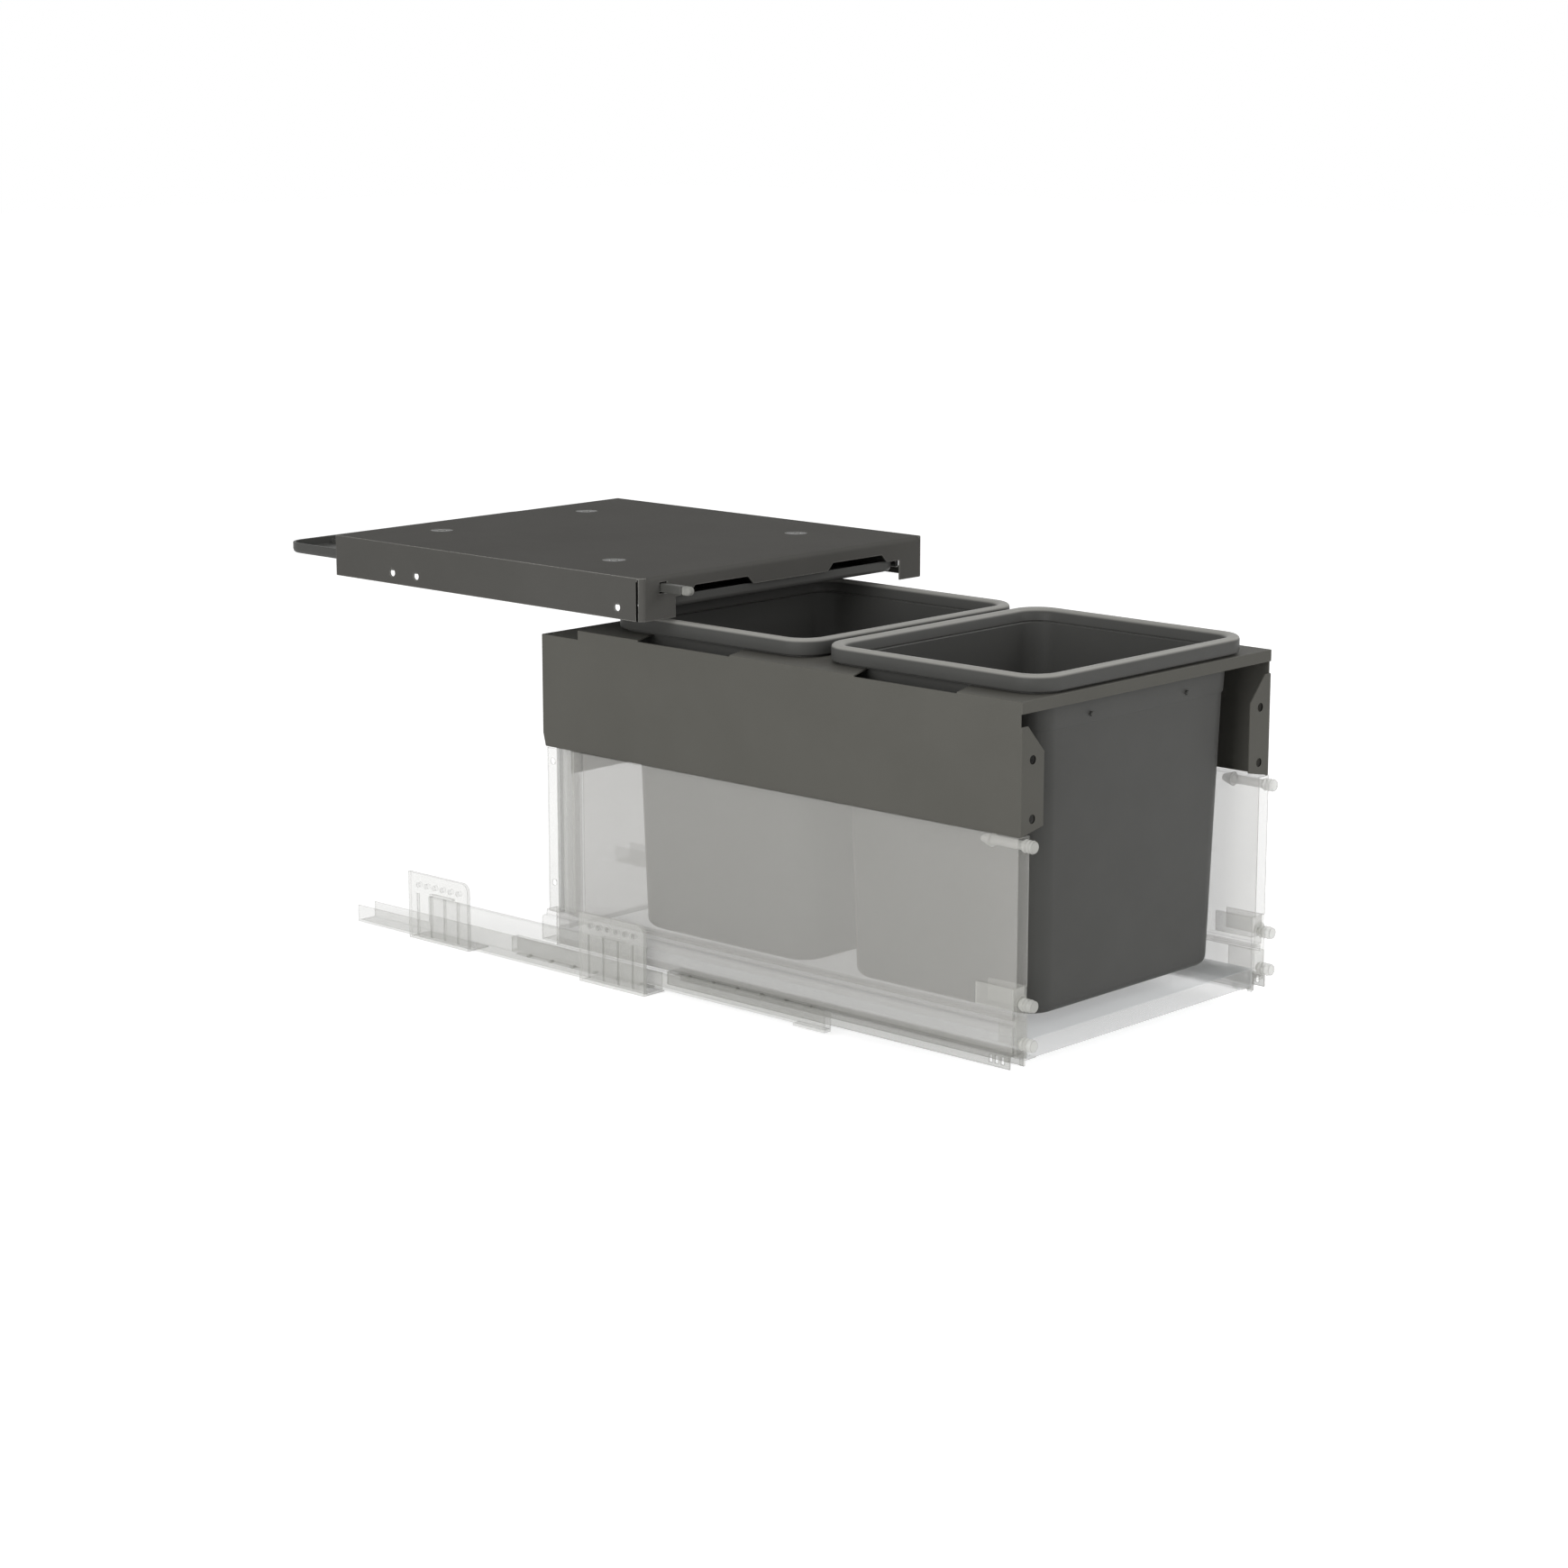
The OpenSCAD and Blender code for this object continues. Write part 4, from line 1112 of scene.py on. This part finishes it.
@dataclass
class LidUnit:
    """The housing, the plate under it and what guides and lifts the plate, with sizes in mm.

    The seam is a groove upright beside each front corner, with painted shade on its faces deeper
    than skin_depth, and seam_gap is left of the sheet over it. Margin is how far zones and cuts
    reach past the sheet.
    """

    sheet_edge: float = 0.55
    bend_round: float = 1.5
    bend_reach: float = 0.5
    corner_reach: float = 7.0
    corner_depth: float = 10.0
    seam_y: float = 5.6
    seam: float = 1.7
    seam_depth: float = 0.9
    seam_gap: float = 3.2
    seam_slack: float = 0.2
    skin_depth: float = 0.05
    margin: float = 1.0
    plate_edge: float = 0.7
    plate_round: float = 3.6
    plate_foot: tuple[float, float] = (300.0, 332.5)
    segments: int = 3

    def build_housing(self) -> Object:
        """Makes the folded housing with its seams, painted shade inside them, and rounded cut
        edges.

        Returns:
            The housing.
        """
        dress = Dress(SHADED_LID_COAT, "dark_lid_sheet", "cabinet_side")
        low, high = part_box("lid_housing")
        outer, front, foot, top = high[0] / MM, low[1] / MM, low[2] / MM, high[2] / MM
        inner, past, over = outer - self.seam_depth, outer + self.margin, top + self.margin
        seam_end, slot_top = self.seam_y + self.seam, top - self.seam_gap
        corner = Zone(
            x=(outer - self.corner_reach, past),
            y=(-self.margin, self.corner_depth),
            z=(top - self.corner_reach, over),
        )
        seam = Zone(
            x=(inner - self.seam_slack / 2, past),
            y=(self.seam_y - self.seam_slack, seam_end + self.seam_slack),
        )
        bend = Zone(
            y=(front - self.margin, front + self.bend_reach), z=(top - self.bend_reach, over)
        )
        easing = Easing(self.sheet_edge, self.segments, (corner, seam), self.bend_round, bend)
        slots = tuple(
            ((min(ends), self.seam_y, foot - self.margin), (max(ends), seam_end, slot_top))
            for ends in ((side.value * inner, side.value * past) for side in Side)
        )
        piece = eased_copy("lid_housing", "folded_lid_housing", dress, easing, slots)
        within = Zone(x=(0.0, outer - self.skin_depth))
        # The faces deep in the seams take nearly black painted shade
        return paint_faces(
            piece, SEAM_AND_HOLE_SHADE, lambda face: seam.holds(face.center) and within.holds(face.center)
        )

    def build_plate(self) -> Object:
        """Makes the moulded plate, with wider rounds along its foot.

        Returns:
            The plate.
        """
        dress = Dress(PLATE_MOULDING, "dark_plastic", "lid_plate_unit")
        foot = Zone(z=self.plate_foot)
        easing = Easing(self.plate_edge, self.segments, deep=self.plate_round, deep_zone=foot)
        return eased_copy("lid_plate", "moulded_lid_plate", dress, easing)

    def build(self) -> None:
        """Makes the lid unit's pieces and repaints the ones that keep their shape."""
        self.build_housing()
        self.build_plate()
        repaint("lift_springs", ZINC_PLATE)
        repaint("guide_bushes", BUSH_MOULDING)
        for node in ("guide_studs", "cam_pins", "slot_guide_left", "slot_guide_right"):
            repaint(node, ZINC_PLATE)


@dataclass
class PushRod:
    """The rod that the door presses, with its tip, the two cams and the bar between them."""

    rod_easing: Easing = Easing(1.1, 3)
    tip_easing: Easing = Easing(1.9, 4)
    steel_easing: Easing = Easing(0.4)

    def build(self) -> None:
        """Makes the rod, the tip, the cams and the cross bar."""
        body = "push_rod_unit"
        rod = Dress(ROD_MOULDING, "black_plastic", body)
        tip = Dress(TIP_MOULDING, "tip_plastic", body)
        steel = Dress(ZINC_PLATE, "plain_steel", body)
        eased_copy("push_rod", "rounded_push_rod", rod, self.rod_easing)
        eased_copy("rod_tip", "soft_rod_tip", tip, self.tip_easing)
        for side in Side:
            sided_copy("lift_cam", "cut", side, steel, self.steel_easing)
        eased_copy("cross_bar", "bent_cross_bar", steel, self.steel_easing)


@dataclass
class DrawerBody:
    """The drawer's pale boards and sheets, shown see-through as in the photo.

    A face of the floor board bears the edge band where it turns more to the front than
    band_facing, a cosine.
    """

    board_easing: Easing = Easing(0.9)
    sheet_easing: Easing = Easing(0.45)
    panel_easing: Easing = Easing(0.35)
    band_facing: float = 0.7

    def build_floor_board(self) -> Object:
        """Makes the floor board, whose front edge bears a paler band than its faces.

        Returns:
            The board.
        """
        dress = Dress(SHADED_FLOOR_BOARD, "pale_board", "drawer")
        piece = eased_copy("bottom_panel", "faced_floor_board", dress, self.board_easing)
        return paint_faces(piece, BOARD_BAND, lambda face: face.normal.y < -self.band_facing)

    def build(self) -> None:
        """Makes the floor, back, sides, raised panels and rear posts."""
        board = Dress(CLEAR_BOARD, "pale_board", "drawer")
        sheet = Dress(CLEAR_SHEET, "pale_sheet", "drawer")
        post = Dress(CLEAR_POST, "pale_sheet", "drawer")
        self.build_floor_board()
        eased_copy("back_panel", "faced_back_board", board, self.board_easing)
        for side in Side:
            panel = f"raised_side_panel_{side.label}"
            sided_copy("drawer_side", "rolled", side, sheet, self.sheet_easing)
            eased_copy(f"raised_panel_{side.label}", panel, sheet, self.panel_easing)
            sided_copy("rear_post", "folded", side, post, self.sheet_easing)


@dataclass
class DoorFixings:
    """Brackets, caps, catches and barbed dowels at the drawer's front, where the door goes."""

    cap_easing: Easing = Easing(0.8)
    thin_easing: Easing = Easing(0.4)

    def build(self) -> None:
        """Makes the brackets, caps and catches and repaints the dowels."""
        rail = Dress(CLEAR_RAIL, "pale_rail", "drawer")
        clip = Dress(CLEAR_MOULDING, "pale_plastic", "drawer")
        for side in Side:
            sided_copy("front_bracket", "pressed", side, rail, self.thin_easing)
            sided_copy("cover_cap", "moulded", side, clip, self.cap_easing)
            sided_copy("rail_catch", "moulded", side, clip, self.thin_easing)
        repaint("lower_front_fixings", BARB_MOULDING)
        repaint("upper_front_fixings", BARB_MOULDING)


@dataclass
class Runner:
    """One runner: its three rails, roller cages and wall brackets, with sizes in mm.

    The levels are the cages' names with their first roller's place along the rail and height.
    """

    side: Side
    rail_easing: Easing = Easing(0.5)
    stop_easing: Easing = Easing(0.6)
    drawer_rail_easing: Easing = Easing(0.3)
    cage_easing: Easing = Easing(0.2)
    bracket_easing: Easing = Easing(0.25)
    roller_x: float = 161.25
    roller_length: float = 5.0
    roller_radius: float = 1.4
    roller_round: float = 0.35
    roller_steps: int = 18
    roller_count: int = 6
    roller_pitch: float = 28.0
    levels: tuple[tuple[str, float, float], ...] = (("lower", 21.5, 4.2), ("upper", -177.5, 21.2))

    def rollers(self, level: str, first_y: float, z: float) -> Object:
        """Grows one cage's row of rollers.

        Args:
            level: lower or upper.
            first_y: the first roller's place along the rail, in mm.
            z: its height, in mm.

        Returns:
            The row as one piece.
        """
        end = self.side.label
        start_x = self.roller_x if self.side is Side.RIGHT else -self.roller_x - self.roller_length
        made = TurnedBars().grow(
            {
                "Start": [start_x * MM, first_y * MM, z * MM],
                "Direction": [1.0, 0.0, 0.0],
                "Length": self.roller_length * MM,
                "Radius": self.roller_radius * MM,
                "Pitch": [0.0, self.roller_pitch * MM, 0.0],
                "Count": self.roller_count,
                "End Round": self.roller_round * MM,
                "Steps": self.roller_steps,
                "Finish": ZINC_PLATE.build(),
            }
        )
        bmesh.ops.recalc_face_normals(made, faces=made.faces)
        piece = new_object(f"ground_{level}_rollers_{end}", made)
        smooth(piece, ROLLER_ANGLE)
        dress = Dress(ZINC_PLATE, "plain_steel", f"{level}_cage_unit_{end}")
        return hand_over(piece, dress, f"{level}_rollers_{end}")

    def build(self) -> None:
        """Makes the rails, stops, cages, rollers and wall brackets of this side."""
        side, end = self.side, self.side.label
        wall_rail = Dress(CLEAR_RAIL, "pale_rail", "cabinet_side")
        mid_rail = Dress(CLEAR_RAIL, "pale_rail", f"mid_unit_{end}")
        mid_stop = Dress(CLEAR_MOULDING, "pale_plastic", f"mid_unit_{end}")
        drawer_rail = Dress(DENSE_RAIL, "pale_rail", "drawer")
        bracket = Dress(RIB_MOULDING, "pale_plastic", "cabinet_side")
        sided_copy("cabinet_rail", "rolled", side, wall_rail, self.rail_easing)
        sided_copy("mid_rail", "rolled", side, mid_rail, self.rail_easing)
        sided_copy("mid_stop", "moulded", side, mid_stop, self.stop_easing)
        sided_copy("drawer_rail", "rolled", side, drawer_rail, self.drawer_rail_easing)
        for level, first_y, z in self.levels:
            cage = Dress(CLEAR_MOULDING, "pale_plastic", f"{level}_cage_unit_{end}")
            sided_copy(f"{level}_cage", "moulded", side, cage, self.cage_easing)
            self.rollers(level, first_y, z)
        for place in ("front", "rear"):
            sided_copy(f"wall_bracket_{place}", "ribbed", side, bracket, self.bracket_easing)


@dataclass(frozen=True)
class Lamp:
    """A soft square lamp: its place and side in metres and its strength in watts."""

    name: str
    place: Triple
    size: float
    power: float


@dataclass
class Studio:
    """Camera, floor, backdrop and soft lights, with places in metres and turns in degrees.

    The floor's glow is the light that looking rays see in it over the lamps' own; the sky is the
    room's even light on the unit.
    """

    camera_place: Triple = (-2.2418, -2.0856, 0.8044)
    camera_turn: float = -47.0
    camera_lift: float = 11.91
    lens: float = 81.3
    view_end: float = 100.0
    floor_reach: float = 12.0
    floor_cells: int = 24
    floor_height: float = -0.0008
    floor_tone: float = 0.8
    floor_glow: float = 0.75
    sky: float = 0.34
    clear_layers: int = 32
    aim: Triple = (0.0, 0.0, 0.2)
    lamps: tuple[Lamp, ...] = (
        Lamp("key_left", (-3.1, -0.6, 1.1), 2.2, 60.0),
        Lamp("fill_front", (0.8, -3.2, 1.2), 2.0, 28.0),
        Lamp("edge_right", (2.7, -0.8, 2.7), 1.3, 27.0),
    )

    def set_view(self) -> None:
        """Shows colours as written and lets rays pass all the see-through layers."""
        bpy.context.scene.view_settings.view_transform = "Standard"
        bpy.context.scene.cycles.transparent_max_bounces = self.clear_layers

    def build_camera(self) -> None:
        """Stands the camera front-left of the unit, level and looking slightly down."""
        data = bpy.data.cameras.new("photo_camera")
        data.lens = self.lens
        data.clip_end = self.view_end
        camera = link_new("photo_camera", data)
        camera.location = self.camera_place
        turns = (90 - self.camera_lift, 0.0, self.camera_turn)
        camera.rotation_euler = [math.radians(turn) for turn in turns]
        bpy.context.scene.camera = camera

    def looking_rays(self, tree: NodeTree) -> NodeSocket:
        """Tells rays that look at the background, straight, off gloss or through glass.

        Args:
            tree: the tree of the floor or the world.

        Returns:
            A value of 1 for those rays and 0 for the rest.
        """
        rays = add_node(tree, "ShaderNodeLightPath", {})
        looking = rays["Is Camera Ray"]
        for kind in ("Is Glossy Ray", "Is Transmission Ray"):
            both = {0: looking, 1: rays[kind]}
            looking = add_node(tree, "ShaderNodeMath", both, operation="MAXIMUM")[0]
        return looking

    def build_world(self) -> None:
        """Makes the even room light, seen as plain white."""
        world = bpy.data.worlds.new("white_room")
        tree = blank_tree(world)
        cast = add_node(tree, "ShaderNodeBackground", {"Color": WHITE, "Strength": self.sky})[0]
        seen = add_node(tree, "ShaderNodeBackground", {"Color": WHITE, "Strength": 1.0})[0]
        both = {0: self.looking_rays(tree), 1: cast, 2: seen}
        mixed = add_node(tree, "ShaderNodeMixShader", both)[0]
        add_node(tree, "ShaderNodeOutputWorld", {"Surface": mixed})
        bpy.context.scene.world = world

    def build_floor(self) -> None:
        """Lays the pale floor just under the wall brackets."""
        made, cells = bmesh.new(), self.floor_cells
        bmesh.ops.create_grid(made, x_segments=cells, y_segments=cells, size=self.floor_reach)
        for vert in made.verts:
            vert.co.z = self.floor_height
        floor = new_object("pale_floor", made)
        material = bpy.data.materials.new("studio_floor_paper")
        tree = blank_tree(material)
        tone = (self.floor_tone,) * 3 + (1.0,)
        matt = add_node(tree, "ShaderNodeBsdfDiffuse", {"Color": tone})[0]
        seen = {0: self.looking_rays(tree), 1: self.floor_glow}
        glow = add_node(tree, "ShaderNodeMath", seen, operation="MULTIPLY")[0]
        lit = add_node(tree, "ShaderNodeEmission", {"Color": WHITE, "Strength": glow})[0]
        both = add_node(tree, "ShaderNodeAddShader", {0: matt, 1: lit})[0]
        add_node(tree, "ShaderNodeOutputMaterial", {"Surface": both})
        floor.data.materials.append(material)

    def hang(self, lamp: Lamp) -> None:
        """Hangs one lamp that faces the unit.

        Args:
            lamp: its name, place, size and strength.
        """
        data = bpy.data.lights.new(lamp.name, "AREA")
        data.size = lamp.size
        data.energy = lamp.power
        hung = link_new(lamp.name, data)
        hung.location = lamp.place
        way = Vector(self.aim) - Vector(lamp.place)
        hung.rotation_euler = way.to_track_quat("-Z", "Y").to_euler()

    def build(self) -> None:
        """Makes the whole studio."""
        self.set_view()
        self.build_camera()
        self.build_world()
        self.build_floor()
        for lamp in self.lamps:
            self.hang(lamp)


def main() -> None:
    """Builds every sub-assembly in order, then the studio."""
    logging.basicConfig(level=logging.INFO, format="%(message)s")
    BinFrame().build()
    Bin("front_bin", centre_y=-279.2).build()
    Bin("rear_bin", centre_y=-33.4).build()
    LidUnit().build()
    PushRod().build()
    DrawerBody().build()
    DoorFixings().build()
    for side in Side:
        Runner(side).build()
    Studio().build()


if __name__ == "__main__":
    main()
